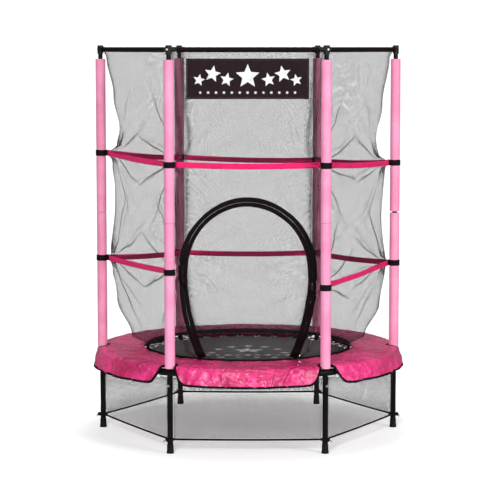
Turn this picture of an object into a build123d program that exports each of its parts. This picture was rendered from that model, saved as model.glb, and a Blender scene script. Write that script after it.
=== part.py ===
from build123d import *
import math
import os

os.makedirs("parts", exist_ok=True)

# A small round trampoline with six legs, a hexagonal safety net on six padded poles, a zipped
# doorway, a sprung mat hung on elastic loops, an edge pad and a net skirt round the legs.
# Millimetres, +Z up, origin on the floor at the centre. The doorway faces -Y.

# ---- Frame: driving sizes ----
corner_count = 6
corner_step = 360 / corner_count
ring_radius = 663.0  # centre line of the round frame; legs and poles stand on it
ring_height = 350.0
tube = 25.0  # ring and leg tubes
tube_wall = 1.5
pole_tube = 20.0
pole_wall = 1.5
rail_tube = 16.0
rail_wall = 1.2
rail_height = 1720.0  # centre line of the top rails
sliding_gap = 0.2  # radial play of a tube slipped on or into another
soft_gap = 1.0  # gap between soft pieces and their neighbours

# ---- Corner joints ----
sleeve_length = 80.0
sleeve_wall = 2.5
tube_end_gap = 2.0  # between two ring tubes, at the middle of a sleeve
leg_socket_length = 88.0  # from the ring's centre down
pole_socket_length = 50.0  # from the ring's centre up
socket_wall = 2.0

# ---- Legs ----
foot_height = 37.0
foot_radius = 16.0
foot_floor = 4.0  # rubber under the tube's end
bolt_drop = 57.0  # leg bolt below the ring's centre
bolt_thread = 6.0
bolt_head = 12.0
bolt_head_height = 4.0
nut_across = 10.0
nut_height = 5.0

# ---- Poles and foam sleeves ----
pole_split_height = 1000.0
spigot_length = 50.0
pole_top_height = rail_height - 20.0
foam_radius = 22.0
foam_lower_end = pole_split_height - 15.0
foam_upper_start = foam_lower_end + 6.0
foam_top_height = pole_top_height - 23.0
foam_clearance = 0.4

# ---- Top connectors ----
connector_radius = 13.5
connector_height = 38.0
connector_sleeve_wall = 3.0
connector_sleeve_length = 27.0
connector_spigot_length = 35.0
connector_chamfer = 2.5
rail_socket_start = 11.0
rivet_head = 9.0
rivet_height = 1.6
rivet_gap = 0.1
rivet_taper = 30.0
rail_cover_wall = 1.8

# ---- Safety net ----
net_thickness = 2.0
net_apothem = 550.0  # middle of the net's upright walls
net_bend_height = 765.0
net_top_height = rail_height - 30.0
net_head_rise = 22.0
net_head_lean = 13.0
net_foot_radius = 458.0
net_foot_height = ring_height + 36.0
net_corner_gap = 1.0
hem_height = 12.0
band_height = 25.0
band_thickness = 2.0
# Heights of the webbing loops, which are pushed up and down by hand, from the +X pole on
lower_loop_levels = (758.0, 743.0, 745.0, 781.0, 780.0, 715.0)
upper_loop_levels = (1212.0, 1190.0, 1204.0, 1256.0, 1236.0, 1233.0)
loop_height = 26.0
loop_wall = 2.2
banner_width = 518.0
banner_height = 170.0
banner_bottom = rail_height - 208.0
banner_thickness = 1.5

# ---- Doorway ----
arch_half_width = 276.0
arch_foot_half_width = 197.0
arch_widest_height = 774.0
arch_top_height = 1076.0
arch_foot_height = net_foot_height + 6.0
binding_half_width = 17.0
binding_thickness = 2.2
door_gap = 0.6  # each side of the zip's line
fold_gap = 3.0  # under the flap, so that its foot can turn
slider_low_height = arch_foot_height + 36.0
slider_travel = 120.0
slider_width = 9.0
slider_length = 14.0
slider_thickness = 4.0
slider_corner = 2.5
slider_side_offset = 8.0  # the slider lies on the fixed tape, beside the zip's line
pin_diameter = 2.0
pin_play = 0.05
pin_lift = slider_thickness + 2.4  # pin's centre above the slider's underside
cheek = 1.5
cheek_play = 0.4  # beside the pull, on each side
eye_wall = 1.0
pull_width = 5.0
pull_length = 26.0
pull_thickness = 1.6

# ---- Mat, elastic loops and edge pad ----
mat_radius = net_foot_radius - 12.0
mat_thickness = 2.0
webbing_width = 34.0
webbing_thickness = 2.8
loops_per_side = 6
tab_width = 16.0
tab_height = 7.6
tab_reach = 13.0
tab_gap = 0.4  # between a tab and the mat's edge
mat_ring_wire = 4.0
mat_ring_width = 26.0
mat_ring_outer_radius = mat_radius + 34.0
mat_ring_corner = 5.0
cord_diameter = 5.0
cord_gap = 0.3
pad_inner_radius = net_foot_radius + 12.0
pad_fold_radius = ring_radius + 21.0
pad_hem_radius = pad_fold_radius + 18.0
pad_hem_height = ring_height - 45.0
pad_thickness = 11.0
pad_skirt_thickness = 5.5
pad_underside = ring_height + 19.0
notch_gap = 6.0
notch_flare = 34.0  # how far the skirt's end slopes back from a notch, down to its hem
tie_cord = 3.0
toggle_radius = 8.0
toggle_slant = 45.0  # degrees below level at which a ball sits against the ring, outside it
tie_beside_sleeve = 9.5

# ---- Net skirt round the legs ----
skirt_net_thickness = 2.0
skirt_hem_height = 60.0
skirt_hem_cord = 9.0
skirt_net_drop = 8.0  # below the ring tube, clear of the elastic loops
skirt_leg_gap = 3.0

# ---- Worked out from the sizes above ----
half_side = ring_radius * math.sin(math.radians(corner_step / 2))
corner_apothem = ring_radius * math.cos(math.radians(corner_step / 2))
side_tangent = math.tan(math.radians(corner_step / 2))
socket_radius = tube / 2 - tube_wall - sliding_gap
pole_spigot_radius = pole_tube / 2 - pole_wall - sliding_gap
sleeve_inner = tube / 2 + sliding_gap
sleeve_outer = sleeve_inner + sleeve_wall
sleeve_half_angle = math.degrees(sleeve_length / 2 / ring_radius)
bolt_height = ring_height - bolt_drop
pole_foot_height = ring_height + sleeve_outer + 0.5
leg_top_height = ring_height - sleeve_outer - 1.5
foam_foot_height = pole_foot_height + 1.0
mat_height = ring_height
net_outer = net_thickness / 2
loop_outer = foam_radius + foam_clearance + loop_wall
door_reach = arch_half_width + binding_half_width


def corner_angle(index):
    return index * corner_step


def side_angle(index):
    return (index + 0.5) * corner_step


def corner_point(index):
    angle = math.radians(corner_angle(index))
    return (ring_radius * math.cos(angle), ring_radius * math.sin(angle))


def radial_plane(angle):
    """Upright plane through the centre: local x outward, local y up."""
    c = math.cos(math.radians(angle))
    s = math.sin(math.radians(angle))
    return Plane(origin=(0, 0, 0), x_dir=(c, s, 0), z_dir=(s, -c, 0))


def facing_plane(angle, distance, height=0.0):
    """Upright plane that faces outward: local x along the side, local y up."""
    c = math.cos(math.radians(angle))
    s = math.sin(math.radians(angle))
    return Plane(origin=(distance * c, distance * s, height), x_dir=(-s, c, 0), z_dir=(c, s, 0))


def level_plane(angle, height):
    """Level plane on the centre line: local x towards the given angle."""
    c = math.cos(math.radians(angle))
    s = math.sin(math.radians(angle))
    return Plane(origin=(0, 0, height), x_dir=(c, s, 0), z_dir=(0, 0, 1))


def save(piece, name):
    piece.part.label = name
    export_step(piece.part, f"parts/{name}.step")


# ---- Frame ----
def make_rim_arc(index):
    """One sixth of the round frame, between the middles of two corner sleeves."""
    gap_angle = math.degrees(tube_end_gap / 2 / ring_radius)
    with BuildPart() as rim_arc:
        with BuildSketch(radial_plane(corner_angle(index) + gap_angle)):
            with Locations((ring_radius, ring_height)):
                Circle(tube / 2)
                Circle(tube / 2 - tube_wall, mode=Mode.SUBTRACT)
        revolve(axis=Axis.Z, revolution_arc=corner_step - 2 * gap_angle)
    save(rim_arc, f"rim_arc_{index + 1}")


def make_corner_joint(index):
    """A curved sleeve over two ring tubes, with a socket tube down for the leg and up for the pole."""
    angle = corner_angle(index)
    x, y = corner_point(index)
    leg_socket_end = ring_height - leg_socket_length
    pole_socket_end = ring_height + pole_socket_length
    with BuildPart() as joint:
        with BuildSketch(radial_plane(angle - sleeve_half_angle)):
            with Locations((ring_radius, ring_height)):
                Circle(sleeve_outer)
        revolve(axis=Axis.Z, revolution_arc=2 * sleeve_half_angle)
        with BuildSketch(Plane.XY.offset(leg_socket_end)):
            with Locations((x, y)):
                Circle(socket_radius)
        extrude(amount=leg_socket_length)
        with BuildSketch(Plane.XY.offset(ring_height)):
            with Locations((x, y)):
                Circle(pole_spigot_radius)
        extrude(amount=pole_socket_length)
        with BuildSketch(Plane.XY.offset(leg_socket_end)):
            with Locations((x, y)):
                Circle(socket_radius - socket_wall)
        extrude(amount=leg_socket_length - sleeve_outer, mode=Mode.SUBTRACT)
        with BuildSketch(Plane.XY.offset(ring_height + sleeve_outer)):
            with Locations((x, y)):
                Circle(pole_spigot_radius - socket_wall)
        extrude(amount=pole_socket_end - ring_height - sleeve_outer, mode=Mode.SUBTRACT)
        with BuildSketch(radial_plane(angle - 2 * sleeve_half_angle)):
            with Locations((ring_radius, ring_height)):
                Circle(sleeve_inner)
        revolve(axis=Axis.Z, revolution_arc=4 * sleeve_half_angle, mode=Mode.SUBTRACT)
        with BuildSketch(facing_plane(angle, ring_radius, bolt_height)):
            Circle(bolt_thread / 2 + sliding_gap)
        extrude(amount=tube, both=True, mode=Mode.SUBTRACT)
    save(joint, f"corner_joint_{index + 1}")


def make_leg(index):
    """A straight leg tube, bolted on the joint's lower socket and standing in its foot cap."""
    with BuildPart() as leg:
        with BuildSketch(Plane.XY.offset(foot_floor)):
            with Locations(corner_point(index)):
                Circle(tube / 2)
                Circle(tube / 2 - tube_wall, mode=Mode.SUBTRACT)
        extrude(amount=leg_top_height - foot_floor)
        with BuildSketch(facing_plane(corner_angle(index), ring_radius, bolt_height)):
            Circle(bolt_thread / 2 + sliding_gap)
        extrude(amount=tube, both=True, mode=Mode.SUBTRACT)
    save(leg, f"leg_{index + 1}")


def make_foot_caps():
    """Bell-shaped rubber caps under the legs."""
    waist = tube / 2 + 1.6
    socket = tube / 2 + sliding_gap
    with BuildPart() as caps:
        with PolarLocations(ring_radius, corner_count):
            Cylinder(waist, foot_height, align=(Align.CENTER, Align.CENTER, Align.MIN))
            Cone(
                foot_radius,
                waist,
                foot_height * 0.55,
                align=(Align.CENTER, Align.CENTER, Align.MIN),
            )
            with Locations((0, 0, foot_floor)):
                Cylinder(
                    socket,
                    foot_height,
                    align=(Align.CENTER, Align.CENTER, Align.MIN),
                    mode=Mode.SUBTRACT,
                )
    save(caps, "foot_caps")


def make_leg_bolts():
    """A bolt and nut through each leg and its socket, head outward."""
    outside = tube / 2 + 0.1
    with BuildPart() as bolts:
        for index in range(corner_count):
            angle = corner_angle(index)
            with BuildSketch(facing_plane(angle, ring_radius - outside - nut_height, bolt_height)):
                RegularPolygon(nut_across / 2, 6, major_radius=False)
            extrude(amount=nut_height)
            with BuildSketch(facing_plane(angle, ring_radius - outside, bolt_height)):
                Circle(bolt_thread / 2)
            extrude(amount=2 * outside)
            with BuildSketch(facing_plane(angle, ring_radius + outside, bolt_height)):
                Circle(bolt_head / 2)
            extrude(amount=bolt_head_height, taper=20)
    save(bolts, "leg_bolts")


def make_pole_lower(index):
    """The lower pole tube, with the welded spigot that the upper tube slips over."""
    with BuildPart() as pole:
        with BuildSketch(Plane.XY.offset(pole_foot_height)):
            with Locations(corner_point(index)):
                Circle(pole_tube / 2)
                Circle(pole_tube / 2 - pole_wall, mode=Mode.SUBTRACT)
        extrude(amount=pole_split_height - pole_foot_height)
        with BuildSketch(Plane.XY.offset(pole_split_height - spigot_length)):
            with Locations(corner_point(index)):
                Circle(pole_tube / 2 - pole_wall)
                Circle(pole_spigot_radius - pole_wall, mode=Mode.SUBTRACT)
        extrude(amount=spigot_length)
        with BuildSketch(Plane.XY.offset(pole_split_height)):
            with Locations(corner_point(index)):
                Circle(pole_spigot_radius)
                Circle(pole_spigot_radius - pole_wall, mode=Mode.SUBTRACT)
        extrude(amount=spigot_length)
    save(pole, f"pole_lower_{index + 1}")


def make_pole_upper(index):
    """The upper pole tube, from the spigot's shoulder to the top connector."""
    with BuildPart() as pole:
        with BuildSketch(Plane.XY.offset(pole_split_height)):
            with Locations(corner_point(index)):
                Circle(pole_tube / 2)
                Circle(pole_tube / 2 - pole_wall, mode=Mode.SUBTRACT)
        extrude(amount=pole_top_height - pole_split_height)
    save(pole, f"pole_upper_{index + 1}")


def make_foam_sleeves():
    """Two foam tubes on each pole, one above the other."""
    spans = ((foam_foot_height, foam_lower_end), (foam_upper_start, foam_top_height))
    with BuildPart() as foam:
        for low, high in spans:
            with BuildSketch(Plane.XY.offset(low)):
                with PolarLocations(ring_radius, corner_count):
                    Circle(foam_radius)
                    Circle(pole_tube / 2 + foam_clearance, mode=Mode.SUBTRACT)
            extrude(amount=high - low)
    save(foam, "foam_sleeves")


def rail_plane(index, turn):
    """Plane at a corner, facing along the rail that leaves it on one side."""
    x, y = corner_point(index)
    heading = math.radians(corner_angle(index) + turn * (90 + corner_step / 2))
    return Plane(
        origin=(x, y, rail_height),
        x_dir=(-math.sin(heading), math.cos(heading), 0),
        z_dir=(math.cos(heading), math.sin(heading), 0),
    )


def make_top_connectors():
    """A moulded cap on each pole, with a sleeve for the rail on each side and a plug down."""
    sleeve_radius = rail_tube / 2 + sliding_gap + connector_sleeve_wall
    base = pole_top_height
    with BuildPart() as connectors:
        with BuildSketch(Plane.XY.offset(base)):
            with PolarLocations(ring_radius, corner_count):
                Circle(connector_radius)
        extrude(amount=connector_height)
        chamfer(connectors.edges().group_by(Axis.Z)[-1], connector_chamfer)
        with BuildSketch(Plane.XY.offset(base - connector_spigot_length)):
            with PolarLocations(ring_radius, corner_count):
                Circle(pole_spigot_radius)
        extrude(amount=connector_spigot_length)
        for index in range(corner_count):
            for turn in (-1, 1):
                with BuildSketch(rail_plane(index, turn)):
                    Circle(sleeve_radius)
                extrude(amount=connector_sleeve_length)
        for index in range(corner_count):
            for turn in (-1, 1):
                with BuildSketch(rail_plane(index, turn).offset(rail_socket_start)):
                    Circle(rail_tube / 2 + sliding_gap)
                extrude(amount=connector_sleeve_length, mode=Mode.SUBTRACT)
    save(connectors, "top_connectors")


def make_connector_rivets():
    """A snap rivet on the outer face of each top connector."""
    start = ring_radius + connector_radius + rivet_gap
    with BuildPart() as rivets:
        for index in range(corner_count):
            with BuildSketch(facing_plane(corner_angle(index), start, rail_height)):
                Circle(rivet_head / 2)
            extrude(amount=rivet_height, taper=rivet_taper)
    save(rivets, "connector_rivets")


def make_top_rails():
    """Six straight rails between the top connectors, which hold the net's head."""
    end = half_side - rail_socket_start - 1.0
    with BuildPart() as rails:
        for index in range(corner_count):
            angle = side_angle(index)
            x = corner_apothem * math.cos(math.radians(angle))
            y = corner_apothem * math.sin(math.radians(angle))
            c = math.cos(math.radians(angle))
            s = math.sin(math.radians(angle))
            across = Plane(origin=(x, y, rail_height), x_dir=(c, s, 0), z_dir=(-s, c, 0))
            with BuildSketch(across):
                Circle(rail_tube / 2)
                Circle(rail_tube / 2 - rail_wall, mode=Mode.SUBTRACT)
            extrude(amount=end, both=True)
    save(rails, "top_rails")


def make_rail_covers():
    """The net's head hem: a cloth tunnel round each rail."""
    end = half_side - connector_sleeve_length - soft_gap
    inside = rail_tube / 2 + cord_gap
    with BuildPart() as covers:
        for index in range(corner_count):
            angle = math.radians(side_angle(index))
            c = math.cos(angle)
            s = math.sin(angle)
            middle = (corner_apothem * c, corner_apothem * s, rail_height)
            with BuildSketch(Plane(origin=middle, x_dir=(c, s, 0), z_dir=(-s, c, 0))):
                Circle(inside + rail_cover_wall)
                Circle(inside, mode=Mode.SUBTRACT)
            extrude(amount=end, both=True)
    save(covers, "rail_covers")


# ---- Safety net ----
def net_wall(angle, inner, outer):
    """One side of the net between two offsets from its middle surface: a foot that widens from the
    round hem to the straight bend line, an upright wall, and a head that leans to the rail."""
    half_bend = (net_apothem + inner) * side_tangent - net_corner_gap
    foot_sweep = corner_step - 2 * math.degrees(net_corner_gap / net_foot_radius)
    near = net_foot_radius + inner
    far = net_foot_radius + outer
    head_high = net_top_height + net_head_rise
    with BuildPart() as wall:
        with BuildSketch(level_plane(angle, net_foot_height)):
            with BuildLine():
                CenterArc((0, 0), near, -foot_sweep / 2, foot_sweep)
                CenterArc((0, 0), far, -foot_sweep / 2, foot_sweep)
                for end in (-1, 1):
                    c = math.cos(math.radians(foot_sweep / 2))
                    s = end * math.sin(math.radians(foot_sweep / 2))
                    Line((near * c, near * s), (far * c, far * s))
            make_face()
        with BuildSketch(level_plane(angle, net_bend_height)):
            with Locations((net_apothem + (inner + outer) / 2, 0)):
                Rectangle(outer - inner, 2 * half_bend)
        loft(ruled=True)
        with BuildSketch(radial_plane(angle)):
            with BuildLine():
                Polyline(
                    (net_apothem + inner, net_bend_height),
                    (net_apothem + inner, net_top_height),
                    (net_apothem + inner + net_head_lean, head_high),
                    (net_apothem + outer + net_head_lean, head_high),
                    (net_apothem + outer, net_top_height),
                    (net_apothem + outer, net_bend_height),
                    close=True,
                )
            make_face()
        extrude(amount=half_bend, both=True)
    return wall.part


def arch_outline(grow):
    """The doorway's outline as a flat face, moved outward by grow from the zip's line."""
    half_width = arch_half_width + grow
    foot_half_width = arch_foot_half_width + grow
    rise = arch_top_height - arch_widest_height + grow
    with BuildSketch() as outline:
        with BuildLine():
            EllipticalCenterArc((0, arch_widest_height), half_width, rise, 0, arc_size=180)
            for side in (-1, 1):
                TangentArc(
                    (side * half_width, arch_widest_height),
                    (side * foot_half_width, arch_foot_height),
                    tangent=(0, -1),
                )
            Line((-foot_half_width, arch_foot_height), (foot_half_width, arch_foot_height))
        make_face()
    return outline.sketch


front_side = 4
front_angle = side_angle(front_side)
arch_reach = net_apothem  # how deep the arch's cutting block goes


def make_net_panel(index, name):
    with BuildPart() as panel:
        add(net_wall(side_angle(index), -net_outer, net_outer))
    save(panel, name)


def make_net_front():
    """The front wall of the net, with the arched doorway cut out."""
    with BuildPart() as panel:
        add(net_wall(front_angle, -net_outer, net_outer))
        with BuildSketch(facing_plane(front_angle, net_apothem / 2)):
            add(arch_outline(door_gap))
        extrude(amount=arch_reach, mode=Mode.SUBTRACT)
    save(panel, "net_front")


def make_door_flap():
    """The net flap that fills the doorway."""
    with BuildPart() as flap:
        add(net_wall(front_angle, -net_outer, net_outer))
        with BuildSketch(facing_plane(front_angle, net_apothem / 2)):
            add(arch_outline(-door_gap))
        extrude(amount=arch_reach, mode=Mode.INTERSECT)
        with BuildSketch(facing_plane(front_angle, net_apothem / 2)):
            with Locations((0, arch_foot_height)):
                Rectangle(2 * arch_foot_half_width, 2 * fold_gap)
        extrude(amount=arch_reach, mode=Mode.SUBTRACT)
    save(flap, "door_flap")


def make_binding(inner_grow, outer_grow, name):
    """One half of the zip's padded binding: an arched strip on the net's outer face."""
    lift = net_outer + cord_gap
    with BuildPart() as binding:
        add(net_wall(front_angle, lift, lift + binding_thickness))
        with BuildSketch(facing_plane(front_angle, net_apothem / 2)):
            add(arch_outline(outer_grow))
        extrude(amount=arch_reach, mode=Mode.INTERSECT)
        with BuildSketch(facing_plane(front_angle, net_apothem / 2)):
            add(arch_outline(inner_grow))
            with Locations((0, arch_foot_height)):
                Rectangle(2 * (arch_foot_half_width + inner_grow), 4 * fold_gap)
        extrude(amount=arch_reach, mode=Mode.SUBTRACT)
    save(binding, name)


def front_surface(across, height):
    """A point on the middle surface of the front wall's foot, by ruling hem arc to bend line."""
    share = (height - net_foot_height) / (net_bend_height - net_foot_height)
    half_bend = net_apothem * side_tangent
    half_turn = math.radians(corner_step / 2)
    low = -1.0
    high = 1.0
    for _ in range(50):
        place = (low + high) / 2
        foot_x = net_foot_radius * math.sin(place * half_turn)
        x = (1 - share) * foot_x + share * place * half_bend
        if x < across:
            low = place
        else:
            high = place
    foot_y = -net_foot_radius * math.cos(place * half_turn)
    return Vector(across, (1 - share) * foot_y - share * net_apothem, height)


def arch_half_width_at(height):
    """Half the doorway's width below its widest level, on the zip's line."""
    drop = arch_widest_height - arch_foot_height
    narrowing = arch_half_width - arch_foot_half_width
    radius = (narrowing**2 + drop**2) / (2 * narrowing)
    down = arch_widest_height - height
    return arch_half_width - radius + math.sqrt(radius**2 - down**2)


def slider_frame():
    """The plane that the slider lies on and the direction that it travels."""
    high_height = slider_low_height + slider_travel
    low_x = arch_half_width_at(slider_low_height) + slider_side_offset
    high_x = arch_half_width_at(high_height) + slider_side_offset
    low = front_surface(low_x, slider_low_height)
    high = front_surface(high_x, high_height)
    travel = (high - low).normalized()
    beside = front_surface(low_x + slider_width / 2, slider_low_height) - low
    normal = beside.cross(travel).normalized()
    clear = net_outer + cord_gap + binding_thickness + soft_gap
    return Plane(origin=low + normal * clear, x_dir=travel.cross(normal), z_dir=normal), travel


def make_zip_slider():
    """The zip's slider, with two cheeks and the pin that its pull hangs on."""
    plane, travel = slider_frame()
    level = Vector(0, 0, 1).cross(plane.z_dir).normalized()
    pin_centre = plane.origin + plane.z_dir * pin_lift
    half_span = pull_width / 2 + cheek_play + cheek
    pin_plane = Plane(origin=pin_centre, x_dir=plane.z_dir, z_dir=level)
    with BuildPart() as slider:
        with BuildSketch(plane):
            RectangleRounded(slider_width, slider_length, slider_corner)
        extrude(amount=slider_thickness)
        for start in (-half_span, half_span - cheek):
            with BuildSketch(pin_plane.offset(start)):
                Rectangle(2 * pin_diameter, 2 * pin_diameter)
                with Locations((-pin_lift / 2, 0)):
                    Rectangle(pin_lift - slider_thickness / 4, 2 * pin_diameter)
            extrude(amount=cheek)
        with BuildSketch(pin_plane.offset(-half_span)):
            Circle(pin_diameter / 2)
        extrude(amount=2 * half_span)
    save(slider, "zip_slider")
    print("zip slider travels along", tuple(round(v, 5) for v in travel))
    print("zip pull turns about", tuple(round(v, 5) for v in level))
    print("zip pull pin at", tuple(round(v, 3) for v in pin_centre))
    return pin_centre, level


def make_zip_pull(pin_centre, level):
    """The pull tab, hanging from the slider's pin."""
    outward = Vector(0, 0, 1).cross(level)
    eye = pin_diameter / 2 + pin_play
    with BuildPart() as pull:
        with BuildSketch(Plane(origin=pin_centre, x_dir=outward, z_dir=level).offset(-pull_width / 2)):
            Circle(eye + eye_wall)
            with Locations((0, -pull_length / 2)):
                Rectangle(pull_thickness, pull_length)
            Circle(eye, mode=Mode.SUBTRACT)
        extrude(amount=pull_width)
    save(pull, "zip_pull")


def make_net_hem():
    """The black hem at the net's foot, sewn to the pad's inner edge."""
    with BuildPart() as hem:
        with BuildSketch(Plane.XY.offset(net_foot_height - hem_height)):
            Circle(pad_inner_radius - cord_gap)
            Circle(net_foot_radius - net_outer, mode=Mode.SUBTRACT)
        extrude(amount=hem_height)
    save(hem, "net_hem")


def make_net_bands():
    """Flat webbing bands along the outside of the net, each straight from one pole loop to the
    next, so it slopes where their heights differ. The doorway interrupts the lower front one."""
    face = net_apothem + net_outer + cord_gap
    pole_offset = corner_apothem - face - band_thickness
    reach = math.sqrt(loop_outer**2 - pole_offset**2)
    end = half_side - reach - soft_gap
    door_side = door_reach + soft_gap
    with BuildPart() as bands:
        for levels in (lower_loop_levels, upper_loop_levels):
            for index in range(corner_count):
                near = levels[index]
                far = levels[(index + 1) % corner_count]
                rise = (far - near) / 2 * end / half_side
                middle = (near + far) / 2
                half = band_height / 2
                with BuildSketch(facing_plane(side_angle(index), face, middle)):
                    with BuildLine():
                        Polyline(
                            (-end, -rise - half),
                            (end, rise - half),
                            (end, rise + half),
                            (-end, half - rise),
                            close=True,
                        )
                    make_face()
                    if index == front_side and levels is lower_loop_levels:
                        Rectangle(2 * door_side, 6 * band_height, mode=Mode.SUBTRACT)
                extrude(amount=band_thickness)
    save(bands, "net_bands")


def make_pole_loops():
    """Webbing loops round the foam, which the bands and the net's corners are sewn to."""
    with BuildPart() as loops:
        for levels in (lower_loop_levels, upper_loop_levels):
            for index, level in enumerate(levels):
                x, y = corner_point(index)
                with BuildSketch(Plane.XY.offset(level - loop_height / 2)):
                    with Locations((x, y)):
                        Circle(loop_outer)
                        Circle(foam_radius + foam_clearance, mode=Mode.SUBTRACT)
                extrude(amount=loop_height)
    save(loops, "pole_loops")


def make_banner():
    """A cloth banner sewn on the front of the net, under the rail."""
    face = net_apothem + net_outer + cord_gap
    with BuildPart() as banner:
        with BuildSketch(facing_plane(front_angle, face, banner_bottom + banner_height / 2)):
            Rectangle(banner_width, banner_height)
        extrude(amount=banner_thickness)
    save(banner, "banner")


# ---- Mat and edge pad ----
def loop_angles():
    """Angles of the elastic loops, evenly spread between the corners."""
    pitch = corner_step / loops_per_side
    for index in range(corner_count * loops_per_side):
        yield (index + 0.5) * pitch


def make_mat():
    with BuildPart() as mat:
        with BuildSketch(Plane.XY.offset(mat_height - mat_thickness / 2)):
            Circle(mat_radius)
        extrude(amount=mat_thickness)
    save(mat, "mat")


def make_mat_webbing():
    """The webbing sewn under the mat's edge, with a folded tab for each mat ring."""
    top = mat_height - mat_thickness / 2
    bottom = top - webbing_thickness
    bar_radius = mat_radius + tab_reach / 2
    tab_bottom = mat_height - tab_height / 2
    with BuildPart() as webbing:
        with BuildSketch(Plane.XY.offset(bottom)):
            Circle(mat_radius)
            Circle(mat_radius - webbing_width, mode=Mode.SUBTRACT)
        extrude(amount=webbing_thickness)
        for angle in loop_angles():
            with BuildSketch(level_plane(angle, tab_bottom)):
                with Locations((mat_radius + tab_gap + tab_reach / 2, 0)):
                    Rectangle(tab_reach, tab_width)
            extrude(amount=tab_height)
            with BuildSketch(level_plane(angle, bottom)):
                with Locations((mat_radius, 0)):
                    Rectangle(2 * tab_reach / 3, tab_width)
            extrude(amount=webbing_thickness)
        for angle in loop_angles():
            with BuildSketch(facing_across(angle, bar_radius)):
                Circle(mat_ring_wire / 2 + cord_gap)
            extrude(amount=tab_width, both=True, mode=Mode.SUBTRACT)
    save(webbing, "mat_webbing")


def facing_across(angle, radius):
    """Upright plane at a point of the mat's level, facing along the edge: local x outward."""
    c = math.cos(math.radians(angle))
    s = math.sin(math.radians(angle))
    return Plane(
        origin=(radius * c, radius * s, mat_height),
        x_dir=(c, s, 0),
        z_dir=(s, -c, 0),
    )


def make_mat_rings():
    """Rectangular wire rings, one in each tab of the mat."""
    inner_bar = mat_radius + tab_reach / 2
    half_length = (mat_ring_outer_radius - inner_bar) / 2
    half_width = mat_ring_width / 2
    middle = (mat_ring_outer_radius + inner_bar) / 2
    with BuildPart() as rings:
        for angle in loop_angles():
            with BuildLine(level_plane(angle, mat_height)) as path:
                FilletPolyline(
                    (middle + half_length, half_width),
                    (middle + half_length, -half_width),
                    (middle - half_length, -half_width),
                    (middle - half_length, half_width),
                    radius=mat_ring_corner,
                    close=True,
                )
            with BuildSketch(Plane(origin=path.line @ 0, z_dir=path.line % 0)):
                Circle(mat_ring_wire / 2)
            sweep(path=path.line)
    save(rings, "mat_rings")


def belt_points(big, small, distance):
    """Tangent points of the belt round two pulleys: angle of the tangent from the vertical."""
    lean = math.asin((big - small) / distance)
    return math.sin(lean), math.cos(lean)


def make_bungee_cords():
    """Elastic loops, each passed round the ring tube and through a mat ring like a belt."""
    big = tube / 2 + cord_gap + cord_diameter / 2
    small = mat_ring_wire / 2 + cord_gap + cord_diameter / 2
    distance = ring_radius - mat_ring_outer_radius
    lean_s, lean_c = belt_points(big, small, distance)
    with BuildPart() as cords:
        for angle in loop_angles():
            with BuildLine(radial_plane(angle)) as path:
                outer_top = (ring_radius - big * lean_s, ring_height + big * lean_c)
                outer_low = (ring_radius - big * lean_s, ring_height - big * lean_c)
                inner_top = (mat_ring_outer_radius - small * lean_s, mat_height + small * lean_c)
                inner_low = (mat_ring_outer_radius - small * lean_s, mat_height - small * lean_c)
                Line(inner_top, outer_top)
                ThreePointArc(outer_top, (ring_radius + big, ring_height), outer_low)
                Line(outer_low, inner_low)
                ThreePointArc(inner_low, (mat_ring_outer_radius - small, mat_height), inner_top)
            with BuildSketch(Plane(origin=path.line @ 0, z_dir=path.line % 0)):
                Circle(cord_diameter / 2)
            sweep(path=path.line)
    save(cords, "bungee_cords")


def make_edge_pad():
    """The padded cover over the ring and the elastic loops: a flat top, a skirt that flares down
    outside the ring, and a notch round each pole that widens towards the hem."""
    top = pad_underside + pad_thickness
    below = pad_hem_height - pad_thickness
    notch_radius = foam_radius + notch_gap
    fold_inner = pad_fold_radius - pad_skirt_thickness
    with BuildPart() as pad:
        with BuildSketch(radial_plane(0)):
            with BuildLine():
                Polyline(
                    (pad_inner_radius, pad_underside),
                    (pad_inner_radius, top),
                    (pad_fold_radius, top),
                    (pad_hem_radius, pad_hem_height),
                    (pad_hem_radius - pad_skirt_thickness, pad_hem_height),
                    (fold_inner, pad_underside),
                    close=True,
                )
            make_face()
        revolve(axis=Axis.Z)
        with BuildSketch(Plane.XY.offset(below)):
            with PolarLocations(ring_radius, corner_count):
                Circle(notch_radius)
            for index in range(corner_count):
                with PolarLocations(ring_radius + notch_radius * 2, 1, corner_angle(index)):
                    Rectangle(notch_radius * 4, notch_radius * 2)
        extrude(amount=top - below + pad_thickness, mode=Mode.SUBTRACT)
        for index in range(corner_count):
            with BuildSketch(facing_plane(corner_angle(index), ring_radius)):
                with BuildLine():
                    Polyline(
                        (-notch_radius, pad_underside),
                        (notch_radius, pad_underside),
                        (notch_radius + notch_flare, below),
                        (-notch_radius - notch_flare, below),
                        close=True,
                    )
                make_face()
            extrude(amount=4 * notch_radius, mode=Mode.SUBTRACT)
    save(pad, "edge_pad")


def make_pad_ties():
    """An elastic round the ring each side of every corner, with a ball toggle outside it."""
    turn = math.degrees((sleeve_length / 2 + tie_beside_sleeve) / ring_radius)
    loop_radius = tube / 2 + cord_gap + tie_cord / 2
    ball_reach = loop_radius + toggle_radius
    ball_out = ball_reach * math.cos(math.radians(toggle_slant))
    ball_drop = ball_reach * math.sin(math.radians(toggle_slant))
    with BuildPart() as ties:
        for index in range(corner_count):
            for side in (-1, 1):
                angle = corner_angle(index) + side * turn
                c = math.cos(math.radians(angle))
                s = math.sin(math.radians(angle))
                around = Plane(
                    origin=(ring_radius * c, ring_radius * s, ring_height),
                    x_dir=(c, s, 0),
                    z_dir=(s, -c, 0),
                )
                with Locations(Location(around)):
                    Torus(loop_radius, tie_cord / 2)
                with Locations(Location(around) * Location((ball_out, -ball_drop, 0))):
                    Sphere(toggle_radius)
    save(ties, "pad_ties")


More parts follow.
